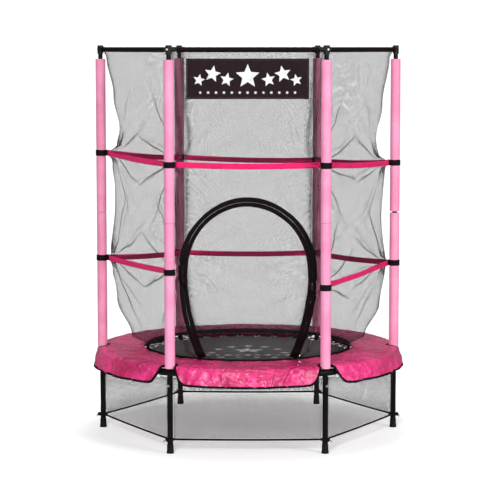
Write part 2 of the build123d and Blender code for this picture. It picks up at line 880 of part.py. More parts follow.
# ---- Net skirt round the legs ----
def make_ground_net():
    """Six net walls between the legs: curved along the ring at the top, straight at the hem."""
    top = ring_height - tube / 2 - skirt_net_drop
    bottom = skirt_hem_height + skirt_hem_cord / 2
    side = tube / 2 + skirt_leg_gap
    sweep_angle = corner_step - 2 * math.degrees(side / ring_radius)
    half = skirt_net_thickness / 2
    with BuildPart() as net:
        for index in range(corner_count):
            angle = side_angle(index)
            with BuildSketch(level_plane(angle, bottom)):
                with Locations((corner_apothem, 0)):
                    Rectangle(skirt_net_thickness, 2 * (half_side - side))
            with BuildSketch(level_plane(angle, top)):
                with BuildLine():
                    near = ring_radius - half
                    far = ring_radius + half
                    CenterArc((0, 0), near, -sweep_angle / 2, sweep_angle)
                    CenterArc((0, 0), far, -sweep_angle / 2, sweep_angle)
                    for end in (-1, 1):
                        turn = math.radians(end * sweep_angle / 2)
                        Line(
                            (near * math.cos(turn), near * math.sin(turn)),
                            (far * math.cos(turn), far * math.sin(turn)),
                        )
                make_face()
            loft(ruled=True)
    save(net, "ground_net")


def make_ground_hem_cord():
    """The cord along the net skirt's hem, in straight runs tied round each leg."""
    loop_radius = tube / 2 + cord_gap + skirt_hem_cord / 2
    with BuildPart() as cord:
        for index in range(corner_count):
            x, y = corner_point(index)
            with Locations((x, y, skirt_hem_height)):
                Torus(loop_radius, skirt_hem_cord / 2)
            angle = math.radians(side_angle(index))
            c = math.cos(angle)
            s = math.sin(angle)
            middle = (corner_apothem * c, corner_apothem * s, skirt_hem_height)
            with BuildSketch(Plane(origin=middle, x_dir=(c, s, 0), z_dir=(-s, c, 0))):
                Circle(skirt_hem_cord / 2)
            extrude(amount=half_side - loop_radius, both=True)
    save(cord, "ground_hem_cord")


for corner in range(corner_count):
    make_rim_arc(corner)
    make_corner_joint(corner)
    make_leg(corner)
    make_pole_lower(corner)
    make_pole_upper(corner)
make_foot_caps()
make_leg_bolts()
make_foam_sleeves()
make_top_connectors()
make_connector_rivets()
make_top_rails()
make_rail_covers()

panel_number = 0
for wall in range(corner_count):
    if wall == front_side:
        continue
    panel_number += 1
    make_net_panel(wall, f"net_panel_{panel_number}")
make_net_front()
make_door_flap()
make_binding(door_gap, binding_half_width, "door_frame_binding")
make_binding(-binding_half_width, -door_gap, "door_flap_binding")
pull_pin, pull_axis = make_zip_slider()
make_zip_pull(pull_pin, pull_axis)
make_net_hem()
make_net_bands()
make_pole_loops()
make_banner()

make_mat()
make_mat_webbing()
make_mat_rings()
make_bungee_cords()
make_edge_pad()
make_pad_ties()
make_ground_net()
make_ground_hem_cord()
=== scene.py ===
# %% [markdown]
# # A small trampoline with a safety net
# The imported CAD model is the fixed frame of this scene: tubes, joints, caps and bolts stay as they
# are and only get materials. Everything made of cloth, net, foam or elastic is modelled again here,
# on the places that the frame gives. All lengths are in metres, +Z is up, the doorway faces -Y.

# %% Load the frame
import math

import bmesh
import bpy
from mathutils import Matrix, Vector, noise
from mathutils.geometry import delaunay_2d_cdt


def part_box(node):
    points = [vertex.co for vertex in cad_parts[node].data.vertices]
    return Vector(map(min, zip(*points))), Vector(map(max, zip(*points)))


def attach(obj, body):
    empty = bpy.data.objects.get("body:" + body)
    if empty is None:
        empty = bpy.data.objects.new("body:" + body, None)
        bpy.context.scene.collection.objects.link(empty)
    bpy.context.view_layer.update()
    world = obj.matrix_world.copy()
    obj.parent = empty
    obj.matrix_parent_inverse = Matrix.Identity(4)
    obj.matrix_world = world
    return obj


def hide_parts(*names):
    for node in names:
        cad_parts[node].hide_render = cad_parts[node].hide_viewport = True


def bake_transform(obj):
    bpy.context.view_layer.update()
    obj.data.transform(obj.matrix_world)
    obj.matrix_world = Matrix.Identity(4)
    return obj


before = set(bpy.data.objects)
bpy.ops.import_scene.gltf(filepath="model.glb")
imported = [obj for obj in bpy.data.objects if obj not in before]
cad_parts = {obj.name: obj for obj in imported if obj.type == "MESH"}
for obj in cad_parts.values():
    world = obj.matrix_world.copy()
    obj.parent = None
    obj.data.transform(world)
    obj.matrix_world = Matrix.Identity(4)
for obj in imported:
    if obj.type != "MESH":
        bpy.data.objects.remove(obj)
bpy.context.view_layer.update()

# %% [markdown]
# ## Sizes read from the frame
# A soft piece must fit the metal that holds it, so most sizes are worked out from the boxes of the
# CAD nodes. The few that no box shows, such as the heights of the loops and the radius of the net,
# repeat the CAD's own values. The drape of the cloth is chosen here.

# %% Sizes
CORNERS = 6
STEP = math.tau / CORNERS
FRONT = 4  # the side that holds the doorway, counted from +X

leg_low, leg_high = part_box("leg_1")
RING_R = (leg_low.x + leg_high.x) / 2
rim_low, rim_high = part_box("rim_arc_1")
RING_Z = (rim_low.z + rim_high.z) / 2
RING_TUBE = rim_high.z - rim_low.z
pole_low, pole_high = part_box("pole_upper_1")
POLE_TUBE = pole_high.x - pole_low.x
foam_low, foam_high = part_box("foam_sleeves")
FOAM_R = foam_high.x - RING_R
rail_low, rail_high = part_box("top_rails")
RAIL_Z = (rail_low.z + rail_high.z) / 2
mat_low, mat_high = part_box("mat")
MAT_R = mat_high.x
MAT_TOP = mat_high.z
hem_low, hem_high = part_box("net_hem")
NET_FOOT_Z = hem_high.z
band_low, band_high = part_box("net_bands")
BAND_H = 0.025
# Heights of the webbing loops at each pole, from the +X pole round: they are pushed along by hand
LOWER_LOOPS = (0.758, 0.743, 0.745, 0.781, 0.780, 0.715)
UPPER_LOOPS = (1.212, 1.190, 1.204, 1.256, 1.236, 1.233)
door_low, door_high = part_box("door_flap")
banner_low, banner_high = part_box("banner")
ground_low, ground_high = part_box("ground_net")
NET_FOOT_R = 0.458
NET_APOTHEM = 0.550
CORNER_APOTHEM = RING_R * math.cos(STEP / 2)
HALF_SIDE = RING_R * math.sin(STEP / 2)
print("ring radius", round(RING_R, 4), "bands from", round(band_low.z, 3), "to", round(band_high.z, 3))


# %% [markdown]
# ## Mesh helpers
# Cloth here is grids of points that follow a formula, so one helper turns points, faces and
# optional UVs into an object at the origin. UVs are in metres of cloth, so that a weave has the same
# scale on every piece.

# %% Mesh helpers
def mesh_object(name, points, faces, uvs=None, smooth=True, values=None):
    """A new mesh object. uvs holds one (u, v) per point; values is a dict of float attributes."""
    mesh = bpy.data.meshes.new(name)
    mesh.from_pydata([tuple(p) for p in points], [], faces)
    if uvs is not None:
        layer = mesh.uv_layers.new(name="Cloth")
        for loop in mesh.loops:
            layer.data[loop.index].uv = uvs[loop.vertex_index]
    for key, numbers in (values or {}).items():
        attribute = mesh.attributes.new(key, "FLOAT", "POINT")
        attribute.data.foreach_set("value", numbers)
    mesh.validate()
    if smooth:
        mesh.shade_smooth()
    piece = bpy.data.objects.new(name, mesh)
    bpy.context.collection.objects.link(piece)
    return piece


def grid_faces(columns, rows, wrap_columns=False, wrap_rows=False, start=0):
    """Quads of a grid whose points are listed column by column."""
    faces = []
    for i in range(columns if wrap_columns else columns - 1):
        for j in range(rows if wrap_rows else rows - 1):
            a = start + i * rows + j
            b = start + ((i + 1) % columns) * rows + j
            c = start + ((i + 1) % columns) * rows + (j + 1) % rows
            d = start + i * rows + (j + 1) % rows
            faces.append((a, b, c, d))
    return faces


def outward(piece):
    """Turns every face outward. The piece's doubles are merged first."""
    work = bmesh.new()
    work.from_mesh(piece.data)
    bmesh.ops.remove_doubles(work, verts=work.verts, dist=1e-6)
    bmesh.ops.recalc_face_normals(work, faces=work.faces)
    work.to_mesh(piece.data)
    work.free()
    return piece


def thicken(piece, thickness, offset=0.0):
    """Gives a surface a real wall, half on each side when offset is 0."""
    wall = piece.modifiers.new("wall", "SOLIDIFY")
    wall.thickness = thickness
    wall.offset = offset
    return apply_modifiers(piece)


def apply_modifiers(piece):
    graph = bpy.context.evaluated_depsgraph_get()
    solid = bpy.data.meshes.new_from_object(piece.evaluated_get(graph))
    piece.modifiers.clear()
    piece.data = solid
    return piece


def join(name, pieces):
    """Joins plain mesh objects into one, keeping UVs, and gives it the name."""
    with bpy.context.temp_override(
        active_object=pieces[0], selected_editable_objects=pieces, selected_objects=pieces
    ):
        if len(pieces) > 1:
            bpy.ops.object.join()
    pieces[0].name = name
    return pieces[0]


def polar(radius, angle, z):
    return Vector((radius * math.cos(angle), radius * math.sin(angle), z))


def side_axes(angle):
    """Unit vectors straight out from the middle and along the side, at an angle."""
    return polar(1, angle, 0), Vector((-math.sin(angle), math.cos(angle), 0))


def beside_pole(angle):
    """How far along the ring an angle is from the nearest pole."""
    return abs((angle + STEP / 2) % STEP - STEP / 2) * RING_R


def side_angle(index):
    return (index + 0.5) * STEP


def smoothstep(t):
    t = min(max(t, 0.0), 1.0)
    return t * t * (3 - 2 * t)


def between(stops, at):
    """A smooth curve through (place, value) stops that are sorted by place."""
    if at <= stops[0][0]:
        return stops[0][1]
    for (p0, v0), (p1, v1) in zip(stops, stops[1:]):
        if at <= p1:
            return v0 + (v1 - v0) * smoothstep((at - p0) / (p1 - p0))
    return stops[-1][1]


def tube_points(path, radius, sides, closed=False, flat=1.0, up=Vector((0, 0, 1))):
    """Rings of points round a path. flat squeezes the section along the local up direction."""
    points = []
    count = len(path)
    for i, centre in enumerate(path):
        ahead = path[(i + 1) % count] if closed or i < count - 1 else path[i]
        behind = path[i - 1] if closed or i > 0 else path[i]
        tangent = (ahead - behind).normalized()
        aside = tangent.cross(up)
        if aside.length < 1e-4:
            aside = tangent.cross(Vector((1, 0, 0)))
        aside.normalize()
        lift = aside.cross(tangent).normalized()
        for k in range(sides):
            turn = math.tau * k / sides
            points.append(
                centre + radius * (math.cos(turn) * aside + flat * math.sin(turn) * lift)
            )
    return points


def tube(name, path, radius, sides=10, closed=False, flat=1.0, up=Vector((0, 0, 1))):
    """A round tube along a path, with closed ends unless it is a loop."""
    points = tube_points(path, radius, sides, closed, flat, up)
    faces = grid_faces(len(path), sides, wrap_columns=closed, wrap_rows=True)
    lengths = [0.0]
    for a, b in zip(path, path[1:]):
        lengths.append(lengths[-1] + (b - a).length)
    uvs = [
        (math.tau * radius * k / sides, lengths[i]) for i in range(len(path)) for k in range(sides)
    ]
    if not closed:
        faces.append(tuple(reversed(range(sides))))
        faces.append(tuple(range((len(path) - 1) * sides, len(path) * sides)))
    return outward(mesh_object(name, points, faces, uvs))


# %% [markdown]
# ## Shader maths as Python
# A procedural material is mostly arithmetic, and a graph of Math nodes is hard to read. The class
# `Term` wraps a value socket and overloads + - * / and friends, so `1 - mask` adds the node by
# itself. `Paint` starts a material and adds any other node with one method.

# %% Shader maths
class Term:
    """A value in a node tree, on which Python's operators add Math nodes."""

    def __init__(self, tree, socket):
        self.tree = tree
        self.socket = socket

    def maths(self, operation, *others, clamp=False):
        node = self.tree.nodes.new("ShaderNodeMath")
        node.operation = operation
        node.use_clamp = clamp
        self.tree.links.new(self.socket, node.inputs[0])
        for place, other in enumerate(others, 1):
            if isinstance(other, Term):
                self.tree.links.new(other.socket, node.inputs[place])
            else:
                node.inputs[place].default_value = other
        return Term(self.tree, node.outputs[0])

    def __add__(self, other):
        return self.maths("ADD", other)

    def __sub__(self, other):
        return self.maths("SUBTRACT", other)

    def __mul__(self, other):
        return self.maths("MULTIPLY", other)

    def __truediv__(self, other):
        return self.maths("DIVIDE", other)

    def __radd__(self, other):
        return self + other

    def __rmul__(self, other):
        return self * other

    def __rsub__(self, other):
        return self * -1 + other

    def __lt__(self, other):
        return self.maths("LESS_THAN", other)

    def __gt__(self, other):
        return self.maths("GREATER_THAN", other)

    def __abs__(self):
        return self.maths("ABSOLUTE")

    def sine(self):
        return self.maths("SINE")

    def cosine(self):
        return self.maths("COSINE")

    def root(self):
        return self.maths("SQRT")

    def power(self, exponent):
        return self.maths("POWER", exponent)

    def fraction(self):
        return self.maths("FRACT")

    def clamped(self):
        return self.maths("ADD", 0.0, clamp=True)

    def larger(self, other):
        return self.maths("MAXIMUM", other)

    def ramp(self, low, high):
        """0 below low, 1 above high, smooth between."""
        node = self.tree.nodes.new("ShaderNodeMapRange")
        node.interpolation_type = "SMOOTHSTEP"
        self.tree.links.new(self.socket, node.inputs["Value"])
        node.inputs["From Min"].default_value = low
        node.inputs["From Max"].default_value = high
        return Term(self.tree, node.outputs[0])


class Paint:
    """One material: a Principled shader and the nodes that feed it."""

    def __init__(self, name, colour=(0.5, 0.5, 0.5), rough=0.5, metal=0.0, **settings):
        self.material = bpy.data.materials.new(name)
        self.material.use_nodes = True
        self.tree = self.material.node_tree
        self.shader = self.tree.nodes["Principled BSDF"]
        self.set("Base Color", (*colour, 1))
        self.set("Roughness", rough)
        self.set("Metallic", metal)
        for key, value in settings.items():
            self.set(key.replace("_", " "), value)

    def set(self, socket_name, value):
        socket = self.shader.inputs[socket_name]
        if isinstance(value, Term):
            self.tree.links.new(value.socket, socket)
        elif isinstance(value, bpy.types.NodeSocket):
            self.tree.links.new(value, socket)
        else:
            socket.default_value = value

    def node(self, kind, settings=None, **values):
        """Adds a node. Settings go on the node first, then each named input gets a value or a link."""
        node = self.tree.nodes.new("ShaderNode" + kind)
        for key, value in (settings or {}).items():
            setattr(node, key, value)
        for key, value in values.items():
            socket = node.inputs[key.replace("_", " ")]
            if isinstance(value, Term):
                self.tree.links.new(value.socket, socket)
            elif isinstance(value, bpy.types.NodeSocket):
                self.tree.links.new(value, socket)
            else:
                socket.default_value = value
        return node

    def term(self, socket):
        return Term(self.tree, socket)

    def place(self):
        """x, y and z of the point on the object, in metres."""
        here = self.node("TexCoord").outputs["Object"]
        parts = self.node("SeparateXYZ", Vector=here)
        return [self.term(parts.outputs[axis]) for axis in range(3)]

    def cloth(self):
        """u and v of the cloth, in metres."""
        uv = self.node("UVMap", {"uv_map": "Cloth"}).outputs[0]
        parts = self.node("SeparateXYZ", Vector=uv)
        return self.term(parts.outputs[0]), self.term(parts.outputs[1])

    def noise(self, scale, detail=3.0, roughness=0.5, stretch=None, distortion=0.0):
        here = self.node("TexCoord").outputs["Object"]
        if stretch is not None:
            here = self.node("Mapping", Vector=here, Scale=stretch).outputs[0]
        cloud = self.node(
            "TexNoise",
            Vector=here,
            Scale=scale,
            Detail=detail,
            Roughness=roughness,
            Distortion=distortion,
        )
        return self.term(cloud.outputs[0])

    def mix(self, factor, low, high):
        """A colour between two colours or colour sockets."""
        node = self.node("Mix", {"data_type": "RGBA"})
        for place, value in ((0, factor), (6, low), (7, high)):
            socket = node.inputs[place]
            if isinstance(value, Term):
                self.tree.links.new(value.socket, socket)
            elif isinstance(value, bpy.types.NodeSocket):
                self.tree.links.new(value, socket)
            elif place:
                socket.default_value = (*value, 1)
            else:
                socket.default_value = value
        return node.outputs[2]

    def bump(self, height, depth, strength=1.0):
        """Raises the surface by height times depth, in metres."""
        node = self.node("Bump", Height=height, Distance=depth, Strength=strength)
        self.set("Normal", node.outputs[0])


def dress(node_name, paint):
    """Gives a CAD node a material and leaves its mesh alone."""
    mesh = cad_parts[node_name].data
    mesh.materials.clear()
    mesh.materials.append(paint.material)


def finish_piece(piece, paint, body, slot_name, *replaced):
    """Material, body and the CAD nodes that a new piece stands for; slot_name is not used. A piece
    that blends between two bodies gets None for its body, because it rides on neither."""
    piece.data.materials.clear()
    piece.data.materials.append(paint.material)
    if body:
        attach(piece, body)
    if replaced:
        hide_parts(*replaced)
    print(piece.name, len(piece.data.polygons), "faces")
    return piece


# %% [markdown]
# ## Metal, rubber and moulded plastic
# Powder coat on the tubes is black with a fine orange-peel surface. Caps and connectors are moulded,
# with a duller, slightly pitted skin. Colour and roughness drift a little over a large noise, as
# dust and handling do on the real thing.

# %% Metal and plastic finishes
def coated(name, colour, rough, grain, depth, drift=0.25, metal=0.0, coat=0.0, shine=0.35):
    """A hard finish with a fine grain and a slow drift in colour and shine."""
    paint = Paint(name, colour, rough, metal, Coat_Weight=coat, Coat_Roughness=0.3, Specular_IOR_Level=shine)
    slow = paint.noise(9.0, 4.0)
    fine = paint.noise(grain, 2.0)
    darker = tuple(c * (1 - drift) for c in colour)
    lighter = tuple(min(1.0, c * (1 + drift) + 0.002) for c in colour)
    paint.set("Base Color", paint.mix(slow.ramp(0.35, 0.65), darker, lighter))
    paint.set("Roughness", (slow * 0.16 + fine * 0.1 + (rough - 0.13)).clamped())
    paint.bump(fine, depth)
    return paint


powder_coat = coated("powder_coat_black", (0.0030, 0.0018, 0.0021), 0.36, 900.0, 0.00012, shine=0.10)
cap_rubber = coated("moulded_rubber_black", (0.0055, 0.0042, 0.0046), 0.6, 500.0, 0.0002, shine=0.12)
connector_plastic = coated("moulded_plastic_black", (0.006, 0.0046, 0.005), 0.45, 700.0, 0.00015, shine=0.2)
zinc = coated("zinc_plate", (0.62, 0.62, 0.64), 0.32, 400.0, 0.0001, metal=1.0)
chrome = coated("polished_pull", (0.8, 0.8, 0.8), 0.16, 300.0, 0.00005, 0.05, metal=1.0)
white_plastic = coated("white_plastic", (0.8, 0.8, 0.8), 0.3, 300.0, 0.00005, 0.04, coat=0.3)
zip_metal = coated("painted_zinc_black", (0.012, 0.011, 0.011), 0.45, 500.0, 0.0001, shine=0.2)

for number in range(1, CORNERS + 1):
    for stem in ("rim_arc", "corner_joint", "leg", "pole_lower", "pole_upper"):
        dress(f"{stem}_{number}", powder_coat)
dress("top_rails", powder_coat)
dress("foot_caps", cap_rubber)
dress("top_connectors", connector_plastic)
dress("connector_rivets", white_plastic)
dress("leg_bolts", zinc)
dress("mat_rings", zinc)
dress("zip_slider", zip_metal)
dress("zip_pull", chrome)

# %% [markdown]
# ## Cloth finishes
# Three cloths recur. Webbing is a ribbed weave with a slight sheen. Coated fabric, on the pad, is a
# smooth shiny skin over a fine weave, creased where it folds. Net is black yarn with open holes:
# its Alpha is 1 on a yarn and 0 in a hole, and gathers close the holes up.

# %% Webbing
def webbing(name, colour, rib=0.0016, sheen=0.06, rough=0.6, shine=0.25):
    paint = Paint(name, colour, rough, Sheen_Weight=sheen, Sheen_Roughness=0.4, Specular_IOR_Level=shine)
    u, v = paint.cloth()
    along = (u * (math.tau / rib)).sine()
    across = (v * (math.tau / (rib * 0.8))).sine()
    weave = along * across * 0.5 + 0.5
    fade = paint.noise(30.0, 3.0).ramp(0.3, 0.7)
    dark = tuple(c * 0.62 for c in colour)
    bright = tuple(min(1.0, c * 1.2 + 0.001) for c in colour)
    paint.set("Base Color", paint.mix((weave * 0.6 + fade * 0.4).clamped(), dark, bright))
    paint.set("Roughness", (fade * 0.12 + (rough - 0.06)).clamped())
    paint.bump(weave, 0.0003)
    return paint


pink_webbing = webbing("webbing_pink", (0.84, 0.008, 0.15))
black_webbing = webbing("webbing_black", (0.0065, 0.0045, 0.0052), sheen=0.01, shine=0.08)
black_tape = webbing("binding_tape_black", (0.0085, 0.0052, 0.0062), rib=0.0011, sheen=0.0, shine=0.04)
print("webbing finishes made")


# %% Net
def netting(name, pitch, yarn, colour=(0.009, 0.007, 0.0075), creased=False):
    """Diamond net: two families of yarns, pitch apart, each yarn a share of the pitch."""
    paint = Paint(name, colour, 0.75, Specular_IOR_Level=0.2)
    u, v = paint.cloth()
    waver = paint.noise(60.0, 2.0) * 0.5
    one = ((u + v) * (1 / pitch) + waver).fraction() - 0.5
    two = ((u - v) * (1 / pitch) + waver).fraction() - 0.5
    gather = paint.term(paint.node("Attribute", {"attribute_name": "gather"}).outputs["Fac"])
    width = gather * 0.22 + yarn / 2
    if creased:
        width = width + creases(paint) * 0.24
    closed = (abs(one) < width).larger(abs(two) < width)
    tone = paint.noise(22.0, 2.0).ramp(0.3, 0.7)
    paint.set("Base Color", paint.mix(tone, tuple(c * 0.7 for c in colour), tuple(c * 1.5 for c in colour)))
    paint.set("Alpha", closed)
    return paint


def creases(paint):
    """Thin folds, where the net lies double, that fan out from the two loops of the nearest pole."""
    values = {}
    for key in ("off_pole", "over_lower", "over_upper", "slack"):
        values[key] = paint.term(paint.node("Attribute", {"attribute_name": key}).outputs["Fac"])
    wander = paint.noise(2.6, 3.0)
    fine = paint.noise(9.0, 2.0)
    folds = None
    for key, spokes in (("over_lower", 9.0), ("over_upper", 10.0)):
        aside = values["off_pole"] + 0.006
        fan = values[key].maths("ARCTAN2", aside)
        reach = (aside * aside + values[key] * values[key]).root()
        thin = (fan * spokes + wander * 5.0 + fine * 0.6).cosine().larger(0.0).power(46.0)
        near = reach.ramp(0.004, 0.03) * (1 - reach.ramp(0.12, 0.42))
        one = thin * near
        folds = one if folds is None else folds.larger(one)
    return folds * values["slack"]


safety_net = netting("safety_net_yarn", 0.0032, 0.165, creased=True)
ground_netting = netting("ground_net_yarn", 0.0036, 0.25)

# %% [markdown]
# ## The shape of the safety net
# The net is round at its foot, where it is sewn to the pad, and a hexagon above, where it hangs on
# the rails and is pulled out at each corner by two webbing loops. Between those fixings it is slack
# and sinks inward, with creases that fan out from the loops. The drape is a formula and not a
# simulation, which keeps it clear of the poles by its own numbers: two profiles up the height, one
# at the middle of a side and one at a corner, and shallow ridges round each loop.

# %% Net shape
STRAIGHT_CORNER = 1 / math.cos(STEP / 2)
NET_HEAD_Z = RAIL_Z - 0.008
MIDDLE_LOW = sum(LOWER_LOOPS) / CORNERS
MIDDLE_HIGH = sum(UPPER_LOOPS) / CORNERS
SIDE_PROFILE = [
    (NET_FOOT_Z, NET_FOOT_R),
    (NET_FOOT_Z + 0.16, 0.502),
    (MIDDLE_LOW, NET_APOTHEM - 0.001),
    (MIDDLE_LOW + 0.22, 0.544),
    (MIDDLE_HIGH, NET_APOTHEM - 0.001),
    (MIDDLE_HIGH + 0.2, 0.546),
    (NET_HEAD_Z - 0.03, 0.551),
    (NET_HEAD_Z, 0.564),
]


def corner_profile(low, high):
    """Distance out to the net at a corner whose loops are at the two heights."""
    return [
        (NET_FOOT_Z, NET_FOOT_R),
        (NET_FOOT_Z + 0.035, 0.530),
        (low - 0.19, 0.594),
        (low - 0.03, 0.614),
        (low, 0.634),
        (low + 0.03, 0.616),
        (low + 0.22, 0.602),
        (high - 0.03, 0.610),
        (high, 0.634),
        (high + 0.035, 0.583),
        (high + 0.10, 0.574),
        (high + 0.26, 0.606),
        (NET_HEAD_Z - 0.03, 0.636),
        (NET_HEAD_Z, 0.648),
    ]


CORNER_PROFILES = [corner_profile(low, high) for low, high in zip(LOWER_LOOPS, UPPER_LOOPS)]


def nearest_corner(angle):
    """The pole that an angle round the centre is nearest to, and the angle between them."""
    corner = round(angle / STEP)
    return corner % CORNERS, abs(angle - corner * STEP)


def fan_height(fan, corner):
    """Ridges and hollows round a loop, by the direction from it."""
    return math.cos(9.0 * fan + 1.9 * corner)


def net_radius(angle, z):
    """Distance from the centre line to the net, angle radians round from +X."""
    corner, off_corner = nearest_corner(angle)
    turn = STEP / 2 - off_corner
    middle = between(SIDE_PROFILE, z)
    out = between(CORNER_PROFILES[corner], z)
    share = (1 / math.cos(turn) - 1) / (STRAIGHT_CORNER - 1)
    radius = middle + (out - middle) * share
    aside = off_corner * radius
    for loop_z in (LOWER_LOOPS[corner], UPPER_LOOPS[corner]):
        rise = z - loop_z
        reach = math.hypot(aside, rise)
        if reach < 0.40:
            fan = math.atan2(rise, aside + 0.004)
            fade = math.exp(-reach / 0.13) * (1 - math.exp(-reach / 0.03)) * min(1.0, (0.40 - reach) / 0.2)
            radius += 0.016 * fade * fan_height(fan, corner)
    billow = noise.noise(Vector((math.cos(angle) * 3.1, math.sin(angle) * 3.1, z * 4.2)))
    pinned = min(1.0, (z - NET_FOOT_Z) / 0.06) * min(1.0, (NET_HEAD_Z - z) / 0.06)
    return radius + 0.006 * billow * max(pinned, 0.0)


FRONT_ANGLE = side_angle(FRONT)
SLACK = [  # how slack the net hangs, by the angle round from the middle of the front wall
    (0.0, 0.12), (STEP * 0.5 - 0.01, 0.12), (STEP * 0.5 + 0.01, 1.0), (STEP * 1.5 - 0.01, 1.0),
    (STEP * 1.5 + 0.01, 0.45), (STEP * 2.5 - 0.01, 0.35), (STEP * 2.5 + 0.01, 0.10), (STEP * 3.0, 0.10),
]


def net_values(points):
    """What the net's finish reads at each (angle, z): how bunched the cloth is, its place
    measured from the nearest pole and from that pole's two loops, and how slack it hangs. The
    front wall is drawn flat by the doorway's binding."""
    values = {"gather": [], "off_pole": [], "over_lower": [], "over_upper": [], "slack": []}
    for angle, z in points:
        off_front = abs(math.atan2(math.sin(angle - FRONT_ANGLE), math.cos(angle - FRONT_ANGLE)))
        values["slack"].append(between(SLACK, off_front))
        corner, off_corner = nearest_corner(angle)
        aside = off_corner * 0.6
        bunched = 0.9 * math.exp(-aside / 0.010) + 0.35 * math.exp(-(z - NET_FOOT_Z) / 0.02)
        values["gather"].append(min(1.0, bunched))
        values["off_pole"].append(aside)
        values["over_lower"].append(z - LOWER_LOOPS[corner])
        values["over_upper"].append(z - UPPER_LOOPS[corner])
    return values


def net_point(angle, turn, z):
    return polar(net_radius(angle + turn, z), angle + turn, z)


def net_wall(name, index):
    """One plain wall of the net, as a surface between two corners."""
    columns, rows = 54, 130
    angle = side_angle(index)
    edge = STEP / 2 - 0.0008
    points, uvs, places = [], [], []
    for i in range(columns):
        turn = -edge + 2 * edge * i / (columns - 1)
        for j in range(rows):
            z = NET_FOOT_Z + (NET_HEAD_Z - NET_FOOT_Z) * j / (rows - 1)
            points.append(net_point(angle, turn, z))
            uvs.append((turn * 0.6, z))
            places.append((angle + turn, z))
    return mesh_object(name, points, grid_faces(columns, rows), uvs, values=net_values(places))


panel_numbers = [index for index in range(CORNERS) if index != FRONT]
for number, index in enumerate(panel_numbers, 1):
    wall = net_wall(f"net_wall_{number}", index)
    finish_piece(wall, safety_net, "frame", "net_black", f"net_panel_{number}")

# %% [markdown]
# ## The doorway
# The front wall and its flap share one outline, an arch, and must meet without a gap. Cutting the
# arch with a boolean would leave ragged thin faces, so both are triangulated from the same points:
# a constrained Delaunay triangulation keeps the arch as edges, and each triangle goes to the wall or
# to the flap by which side of the arch it lies on.

# %% Arch outline
ARCH_HALF = (door_high.x - door_low.x) / 2 + 0.0006
ARCH_FOOT_HALF = 0.197
ARCH_FOOT_Z = door_low.z
ARCH_TOP_Z = door_high.z + 0.0006
ARCH_WIDEST_Z = 0.774


def arch_half_at(z, grow=0.0):
    """Half the doorway's width at a height."""
    if z <= ARCH_WIDEST_Z:
        drop = ARCH_WIDEST_Z - ARCH_FOOT_Z
        narrowing = ARCH_HALF - ARCH_FOOT_HALF
        radius = (narrowing**2 + drop**2) / (2 * narrowing)
        return grow + ARCH_HALF - radius + math.sqrt(radius**2 - (ARCH_WIDEST_Z - z) ** 2)
    rise = ARCH_TOP_Z + grow - ARCH_WIDEST_Z
    share = min(1.0, (z - ARCH_WIDEST_Z) / rise)
    return (ARCH_HALF + grow) * math.sqrt(max(0.0, 1 - share**2))


def arch_path(grow=0.0, foot=None, count=150):
    """Points (x, z) along the arch from its left foot over the top to its right foot."""
    foot = ARCH_FOOT_Z if foot is None else foot
    legs = count // 4
    left = []
    for i in range(legs):
        z = foot + (ARCH_WIDEST_Z - foot) * i / legs
        left.append((-arch_half_at(z, grow), z))
    top = []
    rise = ARCH_TOP_Z + grow - ARCH_WIDEST_Z
    for i in range(count - 2 * legs):
        turn = math.pi * i / (count - 2 * legs - 1)
        top.append((-(ARCH_HALF + grow) * math.cos(turn), ARCH_WIDEST_Z + rise * math.sin(turn)))
    right = [(-x, z) for x, z in reversed(left)]
    return left + top + right


def front_turn(x, z):
    """The turn from the middle of the front side at which the net has this x."""
    turn = math.asin(max(-0.9, min(0.9, x / 0.55)))
    for _ in range(12):
        turn = math.asin(max(-0.9, min(0.9, x / net_radius(side_angle(FRONT) + turn, z))))
    return turn


def front_point(x, z, lift=0.0):
    """A point on the front wall, lifted off its outer face along the wall's normal."""
    base = net_point(side_angle(FRONT), front_turn(x, z), z)
    if lift == 0.0:
        return base
    nudge = 0.004
    beside = net_point(side_angle(FRONT), front_turn(x + nudge, z), z) - base
    above_z = min(z + nudge, NET_HEAD_Z)
    above = net_point(side_angle(FRONT), front_turn(x, above_z), above_z) - base
    normal = beside.cross(above)
    if normal.length < 1e-9:
        return base + Vector((0, -lift, 0))
    return base + normal.normalized() * lift


